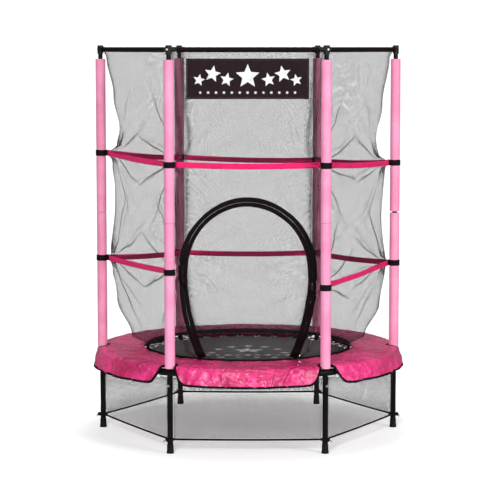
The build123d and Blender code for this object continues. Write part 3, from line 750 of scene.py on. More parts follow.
# %% Front wall and flap
def front_sheet(name, keep_inside, grow):
    """The part of the front wall inside or outside the arch."""
    arch = arch_path(grow, count=150)
    points = [Vector(p) for p in arch]
    edges = [(i, i + 1) for i in range(len(arch) - 1)] + [(len(arch) - 1, 0)]
    edge_turn = STEP / 2 - 0.0008
    rows = 122
    border = []
    for j in range(rows):
        z = NET_FOOT_Z + (NET_HEAD_Z - NET_FOOT_Z) * j / (rows - 1)
        reach = [net_radius(side_angle(FRONT) + end * edge_turn, z) for end in (-1, 1)]
        border.append((min(reach) * math.sin(edge_turn), z))
    spacing = 0.0115
    for j, (half, z) in enumerate(border):
        columns = 56
        for i in range(columns + 1):
            x = -half + 2 * half * i / columns
            gap = min(math.hypot(x - ax, z - az) for ax, az in arch[::2]) if z < ARCH_TOP_Z + 0.02 else 1
            if gap > spacing * 0.45:
                points.append(Vector((x, z)))
    verts, _, triangles, *_ = delaunay_2d_cdt(points, edges, [], 0, 1e-5)
    faces = []
    for triangle in triangles:
        x = sum(verts[i].x for i in triangle) / 3
        z = sum(verts[i].y for i in triangle) / 3
        inside = ARCH_FOOT_Z < z < ARCH_TOP_Z + grow and abs(x) < arch_half_at(z, grow)
        spans = [verts[i] for i in triangle]
        half = between_border(border, z)
        if inside == keep_inside and abs(x) < half and len(spans) == 3:
            faces.append(tuple(triangle))
    used = sorted({i for face in faces for i in face})
    index = {old: new for new, old in enumerate(used)}
    shaped = [front_point(verts[i].x, verts[i].y) for i in used]
    uvs = [(verts[i].x, verts[i].y) for i in used]
    places = [(side_angle(FRONT) + front_turn(verts[i].x, verts[i].y), verts[i].y) for i in used]
    faces = [tuple(index[i] for i in face) for face in faces]
    return mesh_object(name, shaped, faces, uvs, values=net_values(places))


def between_border(border, z):
    """Half the wall's width at a height, from the border's points."""
    for (h0, z0), (h1, z1) in zip(border, border[1:]):
        if z <= z1:
            return h0 + (h1 - h0) * (z - z0) / (z1 - z0) + 1e-6
    return border[-1][0]


front_wall = front_sheet("net_front_wall", False, 0.0006)
finish_piece(front_wall, safety_net, "frame", "net_black", "net_front")
flap = front_sheet("door_net_flap", True, -0.0006)
finish_piece(flap, safety_net, None, "net_black", "door_flap")

# %% [markdown]
# ## Rows that follow a path
# Stitches, zip teeth and dots are one small shape repeated along a line, which is what Geometry
# Nodes do best. The tree below takes a path of edges, walks it at an even spacing and sets a block
# or a bead at each step, turned to the path and to the face that the path lies on. The result is
# made a plain mesh, because a piece may not keep live instances.

# %% The row tree
def row_tree():
    """A node tree with named inputs that sets small shapes along a path."""
    tree = bpy.data.node_groups.new("row_along_path", "GeometryNodeTree")
    tree.interface.new_socket("Path", in_out="INPUT", socket_type="NodeSocketGeometry")
    for label, kind in (
        ("Spacing", "Float"),
        ("Size", "Vector"),
        ("Scatter", "Float"),
        ("Seed", "Int"),
        ("Block", "Bool"),
        ("Finish", "Material"),
    ):
        tree.interface.new_socket(label, in_out="INPUT", socket_type="NodeSocket" + kind)
    tree.interface.new_socket("Row", in_out="OUTPUT", socket_type="NodeSocketGeometry")

    def add(kind, settings=None, **links):
        node = tree.nodes.new(kind)
        for key, value in (settings or {}).items():
            setattr(node, key, value)
        for key, value in links.items():
            socket = node.inputs[int(key[1:])] if key[0] == "_" else node.inputs[key.replace("_", " ")]
            if isinstance(value, bpy.types.NodeSocket):
                tree.links.new(value, socket)
            else:
                socket.default_value = value
        return node

    given = tree.nodes.new("NodeGroupInput").outputs
    curve = add("GeometryNodeMeshToCurve", Mesh=given["Path"])
    walk = add(
        "GeometryNodeCurveToPoints", {"mode": "LENGTH"}, Curve=curve.outputs[0], Length=given["Spacing"]
    )
    facing = add("GeometryNodeInputNamedAttribute", {"data_type": "FLOAT_VECTOR"}, Name="facing")
    along = add("FunctionNodeAlignRotationToVector", {"axis": "X"}, Vector=walk.outputs["Tangent"])
    turned = add(
        "FunctionNodeAlignRotationToVector",
        {"axis": "Z", "pivot_axis": "X"},
        Rotation=along.outputs[0],
        Vector=facing.outputs[0],
    )
    bead = add("GeometryNodeMeshUVSphere", Segments=8, Rings=5, Radius=0.5)
    block = add("GeometryNodeMeshCube")
    shape = tree.nodes.new("GeometryNodeSwitch")
    shape.input_type = "GEOMETRY"
    tree.links.new(given["Block"], shape.inputs["Switch"])
    tree.links.new(bead.outputs[0], shape.inputs["False"])
    tree.links.new(block.outputs[0], shape.inputs["True"])
    set_down = add(
        "GeometryNodeInstanceOnPoints",
        Points=walk.outputs[0],
        Instance=shape.outputs[0],
        Rotation=turned.outputs[0],
        Scale=given["Size"],
    )
    jitter = add("FunctionNodeRandomValue", {"data_type": "FLOAT"}, Seed=given["Seed"])
    jitter.inputs[2].default_value = -1.0
    jitter.inputs[3].default_value = 1.0
    angle = add("ShaderNodeMath", {"operation": "MULTIPLY"}, _0=jitter.outputs[1], _1=given["Scatter"])
    spin = add("ShaderNodeCombineXYZ", Z=angle.outputs[0])
    askew = add("GeometryNodeRotateInstances", Instances=set_down.outputs[0], Rotation=spin.outputs[0])
    real = add("GeometryNodeRealizeInstances", Geometry=askew.outputs[0])
    finish = add("GeometryNodeSetMaterial", Geometry=real.outputs[0], Material=given["Finish"])
    output = tree.nodes.new("NodeGroupOutput")
    tree.links.new(finish.outputs[0], output.inputs[0])
    return tree


ROW_TREE = row_tree()


def row(name, paths, facings, spacing, size, paint, body, block=False, scatter=0.06):
    """A plain mesh of small shapes along one or more paths. size is (along, across, high)."""
    points, edges, face_values = [], [], []
    for path, facing in zip(paths, facings):
        start = len(points)
        points += [tuple(p) for p in path]
        edges += [(start + i, start + i + 1) for i in range(len(path) - 1)]
        face_values += [component for vector in facing for component in vector]
    mesh = bpy.data.meshes.new(name)
    mesh.from_pydata(points, edges, [])
    mesh.attributes.new("facing", "FLOAT_VECTOR", "POINT").data.foreach_set("vector", face_values)
    piece = bpy.data.objects.new(name, mesh)
    bpy.context.collection.objects.link(piece)
    rows = piece.modifiers.new("row", "NODES")
    rows.node_group = ROW_TREE
    socket = {item.name: item.identifier for item in ROW_TREE.interface.items_tree}
    rows[socket["Spacing"]] = spacing
    rows[socket["Size"]] = size
    rows[socket["Scatter"]] = scatter
    rows[socket["Seed"]] = 11
    rows[socket["Block"]] = block
    rows[socket["Finish"]] = paint.material
    apply_modifiers(piece)
    if body:
        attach(piece, body)
    print(name, len(piece.data.polygons), "faces")
    return piece


black_thread = coated("thread_black", (0.012, 0.009, 0.010), 0.6, 800.0, 0.00005, shine=0.15)
grey_thread = coated("thread_grey", (0.16, 0.15, 0.155), 0.6, 800.0, 0.00005)
pink_thread = coated("thread_pink", (0.55, 0.03, 0.14), 0.6, 800.0, 0.00005)


# %% [markdown]
# ## The zip binding round the doorway
# On the real net the zip is sewn between two padded black strips, one on the wall and one on the
# flap. Each strip here is one section, padded and nearly flat on top, that is carried along the arch
# on the surface of the net, so it bends and leans with the wall.

# %% Binding strips
def arch_frames(count=220):
    """(x, z, nx, nz) at even steps along the arch: the place and the outward direction."""
    raw = arch_path(0.0, count=400)
    lengths = [0.0]
    for (x0, z0), (x1, z1) in zip(raw, raw[1:]):
        lengths.append(lengths[-1] + math.hypot(x1 - x0, z1 - z0))
    frames, j = [], 0
    for i in range(count):
        target = lengths[-1] * i / (count - 1)
        while j < len(raw) - 2 and lengths[j + 1] < target:
            j += 1
        span = max(lengths[j + 1] - lengths[j], 1e-9)
        share = (target - lengths[j]) / span
        x = raw[j][0] + (raw[j + 1][0] - raw[j][0]) * share
        z = raw[j][1] + (raw[j + 1][1] - raw[j][1]) * share
        a, b = raw[max(0, j - 2)], raw[min(len(raw) - 1, j + 3)]
        tx, tz = b[0] - a[0], b[1] - a[1]
        size = math.hypot(tx, tz)
        frames.append((x, z, -tz / size, tx / size))
    return frames, lengths[-1]


ARCH_FRAMES, ARCH_LENGTH = arch_frames()
BINDING_SECTION = [
    (0.0004, 0.0004), (0.0004, 0.0046), (0.0018, 0.0050), (0.0070, 0.0050), (0.0130, 0.0047),
    (0.0170, 0.0040), (0.0190, 0.0026), (0.0196, 0.0010), (0.0120, 0.0003), (0.0050, 0.0003),
]


def binding_strip(name, outer_side):
    """The half of the binding outside the arch, on the wall, or inside it, on the flap."""
    points, uvs = [], []
    sign = 1 if outer_side else -1
    rows = len(BINDING_SECTION)
    for i, (x, z, nx, nz) in enumerate(ARCH_FRAMES):
        at = ARCH_LENGTH * i / (len(ARCH_FRAMES) - 1)
        ruck = 0.5 + 0.5 * math.sin(at * 420 + 3 * noise.noise(Vector((at * 9, sign, 0))))
        for j, (across, lift) in enumerate(BINDING_SECTION):
            swell = 1 + 0.22 * ruck * (lift > 0.002)
            w = sign * across * (1 + 0.13 * noise.noise(Vector((at * 9, sign * 2.0, 0.5))))
            place = max(z + nz * w, ARCH_FOOT_Z - 0.004)
            points.append(front_point(x + nx * w, place, 0.0006 + lift * swell))
            uvs.append((across, at))
    faces = grid_faces(len(ARCH_FRAMES), rows, wrap_rows=True)
    faces.append(tuple(range(rows)))
    faces.append(tuple(reversed(range((len(ARCH_FRAMES) - 1) * rows, len(ARCH_FRAMES) * rows))))
    return outward(mesh_object(name, points, faces, uvs))


def arch_line(across, lift, step=1):
    """A path along the binding with the direction that its surface faces."""
    path, facing = [], []
    for x, z, nx, nz in ARCH_FRAMES[::step]:
        place = max(z + nz * across, ARCH_FOOT_Z)
        here = front_point(x + nx * across, place, lift)
        path.append(here)
        facing.append((front_point(x + nx * across, place, lift + 0.01) - here).normalized())
    return path, facing


def fold_with_door(piece):
    """Bakes the piece's placement into its mesh."""
    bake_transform(piece)


wall_binding = binding_strip("binding_on_wall", True)
finish_piece(wall_binding, black_tape, "frame", "binding_black", "door_frame_binding")
flap_binding = binding_strip("binding_on_flap", False)
finish_piece(flap_binding, black_tape, None, "binding_black", "door_flap_binding")
fold_with_door(flap)
fold_with_door(flap_binding)

for side_name, sign, body in (("wall", 1, "frame"), ("flap", -1, None)):
    teeth = arch_line(sign * 0.0010, 0.0050)
    row(f"zip_teeth_on_{side_name}", [teeth[0]], [teeth[1]], 0.0046, (0.0016, 0.0016, 0.0012),
        zip_metal, body, block=True, scatter=0.0)
    seams = [arch_line(sign * 0.0055, 0.0060), arch_line(sign * 0.0160, 0.0054)]
    row(f"binding_stitches_on_{side_name}", [s[0] for s in seams], [s[1] for s in seams], 0.0052,
        (0.0036, 0.0007, 0.0006), black_thread, body)
for piece_name in ("zip_teeth_on_flap", "binding_stitches_on_flap"):
    fold_with_door(bpy.data.objects[piece_name])


# %% [markdown]
# ## Webbing on the net
# The pink bands ring the net at two heights and pull it out to the poles. Each is a thin strip with
# a rounded edge, a little slack between its ends. Black loops of the same webbing hold the net's
# corners to the foam: each goes round the foam and closes on itself at the corner of the net.

# %% Ribbon helper and bands
RIBBON_SECTION = [
    (-0.5, -0.2), (-0.485, -0.5), (-0.25, -0.5), (0.0, -0.5), (0.25, -0.5), (0.485, -0.5),
    (0.5, -0.2), (0.5, 0.2), (0.485, 0.5), (0.25, 0.5), (0.0, 0.5), (-0.25, 0.5), (-0.485, 0.5),
    (-0.5, 0.2),
]


def ribbon(name, centres, ups, outs, height, thickness, closed=False):
    """A strip of webbing through the centres, height along ups and thickness along outs."""
    points, uvs, at = [], [], 0.0
    for i, centre in enumerate(centres):
        if i:
            at += (centre - centres[i - 1]).length
        for h, t in RIBBON_SECTION:
            points.append(centre + ups[i] * h * height + outs[i] * t * thickness)
            uvs.append((h * height, at))
    rows = len(RIBBON_SECTION)
    faces = grid_faces(len(centres), rows, wrap_columns=closed, wrap_rows=True)
    if not closed:
        faces.append(tuple(range(rows)))
        faces.append(tuple(reversed(range((len(centres) - 1) * rows, len(centres) * rows))))
    return outward(mesh_object(name, points, faces, uvs))


def across_net(angle, turns, low_level, high_level, lift, sag=0.0):
    """Places along the net between two levels at its corners, with the outward direction."""
    widest = STEP / 2
    places, outs = [], []
    for turn in turns:
        share = (turn / widest + 1) / 2
        z = low_level + (high_level - low_level) * share - sag * (1 - (turn / widest) ** 2)
        here = net_point(angle, turn, z)
        beside = net_point(angle, turn + 0.01, z) - here
        out = beside.cross(Vector((0, 0, 1))).normalized()
        places.append(here + out * lift)
        outs.append(out)
    return places, outs


bands, band_paths = [], []
EDGE_TURN = STEP / 2 - 0.012
for loops_at in (LOWER_LOOPS, UPPER_LOOPS):
    for index in range(CORNERS):
        near, far = loops_at[index], loops_at[(index + 1) % CORNERS]
        spans = [(-EDGE_TURN, EDGE_TURN)]
        if index == FRONT and loops_at is LOWER_LOOPS:
            reach = front_turn(ARCH_HALF + 0.018, near)
            spans = [(-EDGE_TURN, -reach), (reach, EDGE_TURN)]
        for low, high in spans:
            steps = max(10, int(60 * (high - low) / STEP))
            turns = [low + (high - low) * i / (steps - 1) for i in range(steps)]
            sag = 0.007 if len(spans) == 1 else 0.0
            centres, outs = across_net(side_angle(index), turns, near, far, 0.0022, sag)
            ups = []
            for i, out in enumerate(outs):
                lean = 0.10 * noise.noise(Vector((centres[i].x * 7, centres[i].y * 7, near * 5)))
                ups.append((Vector((0, 0, 1)) + out * lean).normalized())
            number = len(bands) + 1
            bands.append(ribbon(f"band_part_{number}", centres, ups, outs, BAND_H, 0.0016))
            for edge in (-0.42, 0.42):
                lifted = [c + u * BAND_H * edge + o * 0.001 for c, u, o in zip(centres, ups, outs)]
                band_paths.append((lifted, outs))
net_bands = join("pink_bands", bands)
finish_piece(net_bands, pink_webbing, "frame", "band_pink", "net_bands")
row("band_stitches", [p for p, _ in band_paths], [f for _, f in band_paths], 0.0050,
    (0.0034, 0.0007, 0.0005), pink_thread, "frame")


# %% Pole loops
LOOP_H = 0.026
LOOP_REACH = FOAM_R + 0.0018


def loop_path(angle):
    """Round the foam and back to the corner of the net, seen from above."""
    pole = polar(RING_R, angle, 0)
    inward = -polar(1, angle, 0)
    aside = Vector((-inward.y, inward.x, 0))
    tip = pole + inward * 0.0345
    open_angle = math.acos(LOOP_REACH / 0.034)
    centres = [tip + aside * 0.0012, tip * 0.6 + pole * 0.4 + aside * 0.0074]
    for i in range(41):
        turn = open_angle + (math.tau - 2 * open_angle) * i / 40
        centres.append(pole + LOOP_REACH * (inward * math.cos(turn) + aside * math.sin(turn)))
    centres += [tip * 0.6 + pole * 0.4 - aside * 0.0074, tip - aside * 0.0012]
    return centres


loops, loop_paths = [], []
for loops_at in (LOWER_LOOPS, UPPER_LOOPS):
    for corner, level in enumerate(loops_at):
        centres = [c + Vector((0, 0, level)) for c in loop_path(corner * STEP)]
        ups, outs = [], []
        for i in range(len(centres)):
            ahead = centres[min(i + 1, len(centres) - 1)] - centres[max(i - 1, 0)]
            outs.append(ahead.cross(Vector((0, 0, 1))).normalized())
            ups.append(Vector((0, 0, 1)))
        loops.append(ribbon(f"loop_part_{len(loops)}", centres, ups, outs, LOOP_H, 0.0018))
        for edge in (-0.4, 0.4):
            lifted = [c + Vector((0, 0, LOOP_H * edge)) + o * 0.0011 for c, o in zip(centres, outs)]
            loop_paths.append((lifted[2:-2], outs[2:-2]))
pole_loops = join("webbing_loops", loops)
finish_piece(pole_loops, black_webbing, "frame", "binding_black", "pole_loops")
row("loop_stitches", [p for p, _ in loop_paths], [f for _, f in loop_paths], 0.0052,
    (0.0034, 0.0007, 0.0005), black_thread, "frame")

# %% [markdown]
# ## Hems of the net
# At its head the net is a sleeve that the rails are threaded through, and at its foot it is bound
# with black tape and sewn to the pad. Sleeve cloth is loose, so its section swells and shrinks in
# small gathers along the rail.

# %% Rail sleeves and foot hem
RAIL_TUBE = 0.016
sleeves, sleeve_paths = [], []
for index in range(CORNERS):
    angle = side_angle(index)
    centre = polar(CORNER_APOTHEM, angle, RAIL_Z)
    aside = Vector((-math.sin(angle), math.cos(angle), 0))
    half = HALF_SIDE - 0.034
    columns, sides = 150, 20
    points, uvs = [], []
    for i in range(columns):
        along = -half + 2 * half * i / (columns - 1)
        for k in range(sides):
            turn = math.tau * k / sides
            gather = noise.noise(Vector((along * 52, math.cos(turn) * 1.2, index * 7 + math.sin(turn))))
            radius = RAIL_TUBE / 2 + 0.0016 + 0.0010 * gather
            drop = 0.0022 * max(0.0, -math.sin(turn)) ** 2
            out = polar(1, angle, 0) * math.cos(turn) + Vector((0, 0, math.sin(turn)))
            points.append(centre + aside * along + out * radius - Vector((0, 0, drop)))
            uvs.append((turn * radius, along))
    inner_start = len(points)
    for i in range(columns):
        along = -half + 2 * half * i / (columns - 1)
        for k in range(sides):
            turn = math.tau * k / sides
            out = polar(1, angle, 0) * math.cos(turn) + Vector((0, 0, math.sin(turn)))
            points.append(centre + aside * along + out * (RAIL_TUBE / 2 + 0.0002))
            uvs.append((turn * RAIL_TUBE / 2, along))
    faces = grid_faces(columns, sides, wrap_rows=True)
    faces += grid_faces(columns, sides, wrap_rows=True, start=inner_start)
    for i in (0, columns - 1):
        for k in range(sides):
            a, b = i * sides + k, i * sides + (k + 1) % sides
            faces.append((a, b, inner_start + b, inner_start + a))
    sleeves.append(outward(mesh_object(f"sleeve_part_{index}", points, faces, uvs)))
    line = [centre + aside * (half * (2 * i / 40 - 1)) - polar(0.0068, angle, 0.0088) for i in range(41)]
    sleeve_paths.append((line, [Vector((-math.cos(angle), -math.sin(angle), 0))] * 41))
rail_sleeves = join("rail_sleeves", sleeves)
finish_piece(rail_sleeves, black_tape, "frame", "binding_black", "rail_covers")

hem_steps = 240
hem_height = hem_high.z - hem_low.z
hem_centres, hem_outs = [], []
for i in range(hem_steps):
    angle = math.tau * i / hem_steps
    swell = 0.0007 * noise.noise(Vector((math.cos(angle) * 6, math.sin(angle) * 6, 2)))
    radius = (hem_high.x + NET_FOOT_R) / 2 - 0.0012 + swell
    hem_centres.append(polar(radius, angle, NET_FOOT_Z - hem_height / 2))
    hem_outs.append(polar(1, angle, 0))
hem_ups = [Vector((0, 0, 1))] * hem_steps
foot_hem = ribbon("foot_hem", hem_centres, hem_ups, hem_outs, hem_height + 0.002, 0.0034, True)
finish_piece(foot_hem, black_tape, "frame", "binding_black", "net_hem")
hem_rows = []
for edge in (-0.3, 0.3):
    path = [c + Vector((0, 0, edge * hem_height)) - o * 0.0019 for c, o in zip(hem_centres, hem_outs)]
    hem_rows.append((path + path[:1], [-o for o in hem_outs] + [-hem_outs[0]]))
row("hem_stitches", [p for p, _ in hem_rows], [f for _, f in hem_rows], 0.0055, (0.0038, 0.0007, 0.0006),
    grey_thread, "frame")

# %% [markdown]
# ## The banner
# A strip of black cloth is sewn to the front of the net under the rail, with white stars printed on
# it. The stars are cut as thin shapes that lie on the cloth, so they are part of the mesh too.
# The cloth is pulled tight at its ends and has a few soft waves between.

# %% Banner cloth and stars
BANNER_W = banner_high.x - banner_low.x
BANNER_LOW = banner_low.z
BANNER_H = banner_high.z - banner_low.z
banner_cloth = webbing("banner_weave_black", (0.020, 0.010, 0.013), rib=0.0009, sheen=0.0, shine=0.06)
white_print = webbing("star_print_white", (0.86, 0.86, 0.88), rib=0.0009, sheen=0.0, rough=0.55)


def banner_point(x, z, lift=0.0):
    """A point of the banner's front face, x from its middle and z above its foot."""
    level = BANNER_LOW + z
    base = front_point(x, level, 0.0)
    edge = min(z, BANNER_H - z, BANNER_W / 2 - abs(x)) / 0.03
    wave = 0.0022 * noise.noise(Vector((x * 9, z * 16, 4.0))) * min(1.0, max(edge, 0.0))
    return base + Vector((0, -0.0022 - lift + wave - 0.001, 0))


columns, rows = 90, 32
points, uvs = [], []
for i in range(columns):
    for j in range(rows):
        x = BANNER_W * (i / (columns - 1) - 0.5)
        z = BANNER_H * j / (rows - 1)
        points.append(banner_point(x, z))
        uvs.append((x, z))
banner = mesh_object("banner_sheet", points, grid_faces(columns, rows), uvs)
thicken(banner, 0.0012)
outward(banner)
finish_piece(banner, banner_cloth, "frame", "banner_cloth", "banner")


def star_mesh(name, spots, place, spikes=5, inner=0.45):
    """Flat stars as one mesh. Each spot is (x, z, radius, turn); place puts a point on the cloth."""
    points, faces, uvs = [], [], []
    for x, z, radius, turn in spots:
        rings = 5
        start = len(points)
        points.append(place(x, z))
        uvs.append((x, z))
        for ring in range(1, rings + 1):
            for k in range(2 * spikes):
                reach = radius * (1 if k % 2 == 0 else inner) * ring / rings
                angle = turn + math.pi * k / spikes + math.pi / 2
                sx, sz = x + reach * math.cos(angle), z + reach * math.sin(angle)
                points.append(place(sx, sz))
                uvs.append((sx, sz))
        for k in range(2 * spikes):
            after = (k + 1) % (2 * spikes)
            faces.append((start, start + 1 + k, start + 1 + after))
            for ring in range(rings - 1):
                low = start + 1 + ring * 2 * spikes
                high = low + 2 * spikes
                faces.append((low + k, high + k, high + after, low + after))
    return mesh_object(name, points, faces, uvs, smooth=False)


spots = [(0.0, BANNER_H * 0.56, 0.052, 0.0)]
for x, z, radius in ((0.088, 0.48, 0.030), (0.148, 0.62, 0.036), (0.205, 0.47, 0.026)):
    spots += [(x, BANNER_H * z, radius, 0.2), (-x, BANNER_H * z, radius, -0.2)]
for i in range(13):
    spots.append((0.20 * (i / 6 - 1), BANNER_H * 0.16, 0.0075, 0.3 * i))
stars = star_mesh("banner_stars", spots, lambda x, z: banner_point(x, z, 0.0009))
thicken(stars, 0.0004)
finish_piece(outward(stars), white_print, "frame", "banner_cloth")
edge_in = 0.006
frame_line = []
for x0, z0, x1, z1, steps in (
    (-BANNER_W / 2 + edge_in, edge_in, BANNER_W / 2 - edge_in, edge_in, 60),
    (BANNER_W / 2 - edge_in, edge_in, BANNER_W / 2 - edge_in, BANNER_H - edge_in, 20),
    (BANNER_W / 2 - edge_in, BANNER_H - edge_in, -BANNER_W / 2 + edge_in, BANNER_H - edge_in, 60),
    (-BANNER_W / 2 + edge_in, BANNER_H - edge_in, -BANNER_W / 2 + edge_in, edge_in, 20),
):
    for i in range(steps):
        frame_line.append(banner_point(x0 + (x1 - x0) * i / steps, z0 + (z1 - z0) * i / steps, 0.0008))
row("banner_stitches", [frame_line], [[(0, -1, 0)] * len(frame_line)], 0.0048, (0.0034, 0.0008, 0.0006),
    grey_thread, "frame")

# %% [markdown]
# ## Foam sleeves
# Two lengths of closed-cell foam tube slide over each pole. The foam is cut square, so its ends are
# only a little rounded, it has a slit down the side that faces the net, and it bulges softly because
# it is looser than the pole. Where a webbing loop grips it, the foam is squeezed to a waist. It is a
# lathed shape with those few changes. Only at the +X pole is the gap between the lengths open.

# %% Foam
foam_paint = Paint("foam_pink", (0.86, 0.30, 0.48), 0.62, Specular_IOR_Level=0.3)
pores = foam_paint.noise(520.0, 2.0)
drift = foam_paint.noise(11.0, 4.0)
speck = pores.ramp(0.30, 0.46)
foam_body = foam_paint.mix(drift.ramp(0.3, 0.7), (0.87, 0.27, 0.455), (0.93, 0.35, 0.55))
foam_paint.set("Base Color", foam_paint.mix(speck * 0.4 + 0.6, (0.62, 0.14, 0.28), foam_body))
foam_paint.set("Roughness", (drift * 0.12 + 0.54).clamped())
foam_paint.bump(pores + drift * 2.0, 0.0005)

FOAM_LOW = foam_low.z
FOAM_HIGH = foam_high.z
FOAM_SPLIT = (0.985, 0.991)  # where the two lengths end, unless they have slipped together
FOAM_BORE = POLE_TUBE / 2 + 0.0006


def foam_sleeve(name, corner, low, high):
    angle = corner * STEP
    sides, rows = 56, 110
    rounding = 0.004
    profile = []
    for j in range(rows):
        share = j / (rows - 1)
        eased = 0.5 - 0.5 * math.cos(math.pi * share) if share < 0.06 or share > 0.94 else share
        profile.append(low + (high - low) * eased)
    points, uvs = [], []
    for j, z in enumerate(profile):
        from_end = min(z - low, high - z)
        soft = 1.0
        if from_end < rounding:
            soft = 1 - (1 - math.sqrt(max(0.0, 1 - (1 - from_end / rounding) ** 2))) * 0.16
        grips = (LOWER_LOOPS[corner], UPPER_LOOPS[corner])
        waist = sum(math.exp(-(((z - level) / 0.020) ** 4)) for level in grips)
        for k in range(sides):
            turn = math.tau * k / sides
            lump = noise.noise(Vector((math.cos(turn) * 0.8 + corner * 5, math.sin(turn) * 0.8, z * 7)))
            slit_turn = abs((turn - angle - math.pi + math.pi) % math.tau - math.pi)
            slit = 0.0022 * math.exp(-((slit_turn / 0.09) ** 2))
            radius = (FOAM_R + 0.0006 * lump - 0.0012 * min(waist, 1.0)) * soft - slit
            points.append(polar(RING_R, angle, z) + polar(radius, turn, 0))
            uvs.append((turn * FOAM_R, z))
    outer = len(points)
    for z in (low, high):
        for k in range(sides):
            points.append(polar(RING_R, angle, z) + polar(FOAM_BORE, math.tau * k / sides, 0))
            uvs.append((math.tau * k / sides * FOAM_BORE, z))
    faces = grid_faces(rows, sides, wrap_rows=True)
    for k in range(sides):
        after = (k + 1) % sides
        faces.append((k, after, outer + after, outer + k))
        last = (rows - 1) * sides
        faces.append((last + k, last + after, outer + sides + after, outer + sides + k))
        faces.append((outer + k, outer + after, outer + sides + after, outer + sides + k))
    return outward(mesh_object(name, points, faces, uvs))


for corner in range(CORNERS):
    slip = 0.0 if corner == 0 else 0.0028
    lower_end, upper_start = FOAM_SPLIT[0] + slip, FOAM_SPLIT[1] - slip
    for stem, low, high in (("lower", FOAM_LOW, lower_end), ("upper", upper_start, FOAM_HIGH)):
        sleeve = foam_sleeve(f"foam_{stem}_{corner + 1}", corner, low, high)
        finish_piece(sleeve, foam_paint, "frame", "foam_pink", "foam_sleeves")

# %% [markdown]
# ## The edge pad
# The pad is a ring of foam in coated cloth. Its top lies over the ring tube and the elastic, and a
# skirt of bare cloth hangs outside, cut away at each pole in a notch and bound with black tape. One
# surface makes it: angle round the ring by distance out over the fold, ended by a curve that dips in
# at every notch. Wrinkles are sums of stretched noise, strongest at the free hem.

# %% Pad surface
PAD_IN = 0.470
NOTCH = FOAM_R + 0.006
PAD_PROFILE = [
    (PAD_IN, 0.3772), (PAD_IN + 0.006, 0.3800), (PAD_IN + 0.030, 0.3818), (PAD_IN + 0.080, 0.3828),
    (PAD_IN + 0.140, 0.3822), (PAD_IN + 0.185, 0.3804), (PAD_IN + 0.204, 0.3772),
    (PAD_IN + 0.2135, 0.3705), (PAD_IN + 0.2175, 0.3600), (PAD_IN + 0.2215, 0.3450),
    (PAD_IN + 0.2260, 0.3270), (PAD_IN + 0.2312, 0.3060),
]


def catmull(stops, at):
    """A smooth curve through 2-D stops. at runs from 0 to the number of spans."""
    i = min(int(at), len(stops) - 2)
    t = at - i
    p0, p1 = stops[max(i - 1, 0)], stops[i]
    p2, p3 = stops[i + 1], stops[min(i + 2, len(stops) - 1)]
    result = []
    for a, b, c, d in zip(p0, p1, p2, p3):
        result.append(
            0.5 * (2 * b + (c - a) * t + (2 * a - 5 * b + 4 * c - d) * t**2 + (3 * b - a - 3 * c + d) * t**3)
        )
    return result


PAD_SPANS = 400
pad_line = [catmull(PAD_PROFILE, (len(PAD_PROFILE) - 1) * i / PAD_SPANS) for i in range(PAD_SPANS + 1)]
pad_run = [0.0]
for (r0, z0), (r1, z1) in zip(pad_line, pad_line[1:]):
    pad_run.append(pad_run[-1] + math.hypot(r1 - r0, z1 - z0))
PAD_LENGTH = pad_run[-1]


def pad_profile(distance):
    """Radius, height and outward slope at a distance out from the pad's inner edge."""
    low, high = 0, PAD_SPANS
    while high - low > 1:
        middle = (low + high) // 2
        if pad_run[middle] > distance:
            high = middle
        else:
            low = middle
    share = min(1.0, max(0.0, (distance - pad_run[low]) / (pad_run[high] - pad_run[low])))
    r = pad_line[low][0] + (pad_line[high][0] - pad_line[low][0]) * share
    z = pad_line[low][1] + (pad_line[high][1] - pad_line[low][1]) * share
    dr, dz = pad_line[high][0] - pad_line[low][0], pad_line[high][1] - pad_line[low][1]
    size = math.hypot(dr, dz)
    return r, z, (-dz / size, dr / size)


PAD_FOLD = PAD_LENGTH - 0.078


def pad_limit(beside):
    """How far out the pad reaches, beside metres along the ring from the nearest pole."""
    if beside < NOTCH:
        return RING_R - math.sqrt(NOTCH**2 - beside**2) - PAD_IN
    if beside < NOTCH + 0.0012:
        return RING_R - PAD_IN + (PAD_FOLD - (RING_R - PAD_IN)) * (beside - NOTCH) / 0.0012
    rest = min(1.0, (beside - NOTCH - 0.0012) / 0.062)
    return PAD_FOLD + (PAD_LENGTH - PAD_FOLD) * (1 - (1 - rest) ** 2.2)


def pad_point(angle, distance):
    """A point on the pad's outer face, with its wrinkles, and the direction it faces."""
    r, z, (out, up) = pad_profile(distance)
    beside = beside_pole(angle)
    hang = max(0.0, (distance - PAD_FOLD) / (PAD_LENGTH - PAD_FOLD))
    along = angle * RING_R
    c, s = math.cos(angle), math.sin(angle)
    soft = noise.noise(Vector((c * 9 + 3, s * 9, distance * 9)))
    crease = noise.noise(Vector((c * 26, s * 26, distance * 14 + 8)))
    fold = 1 - abs(noise.noise(Vector((c * 17 + distance * 8, s * 17 - distance * 8, 5.0)))) * 2
    near_notch = math.exp(-((beside - NOTCH) / 0.07) ** 2)
    drape = 0.0085 * hang**1.2 * soft + 0.0046 * hang * crease
    drape *= 1 - 0.45 * near_notch
    drape += 0.0070 * hang * (1 - 0.4 * near_notch) * max(0.0, fold) ** 3
    fan = math.sin(hang * 7 + beside * 60) * 0.0022 * near_notch * min(1.0, hang * 3)
    top = (1 - min(1.0, hang * 4)) * (0.0022 * soft + 0.0016 * crease + 0.0012 * fold)
    pull = 0.0022 * math.exp(-((distance - PAD_FOLD + 0.012) / 0.02) ** 2) * fold
    lift = drape + fan + top - pull
    r += out * lift
    z += up * lift
    z += 0.004 * hang * noise.noise(Vector((c * 7, s * 7, 11.0))) - 0.004 * hang * (1 - near_notch)
    return Vector((r * c, r * s, z)), Vector((out * c, out * s, up)), along


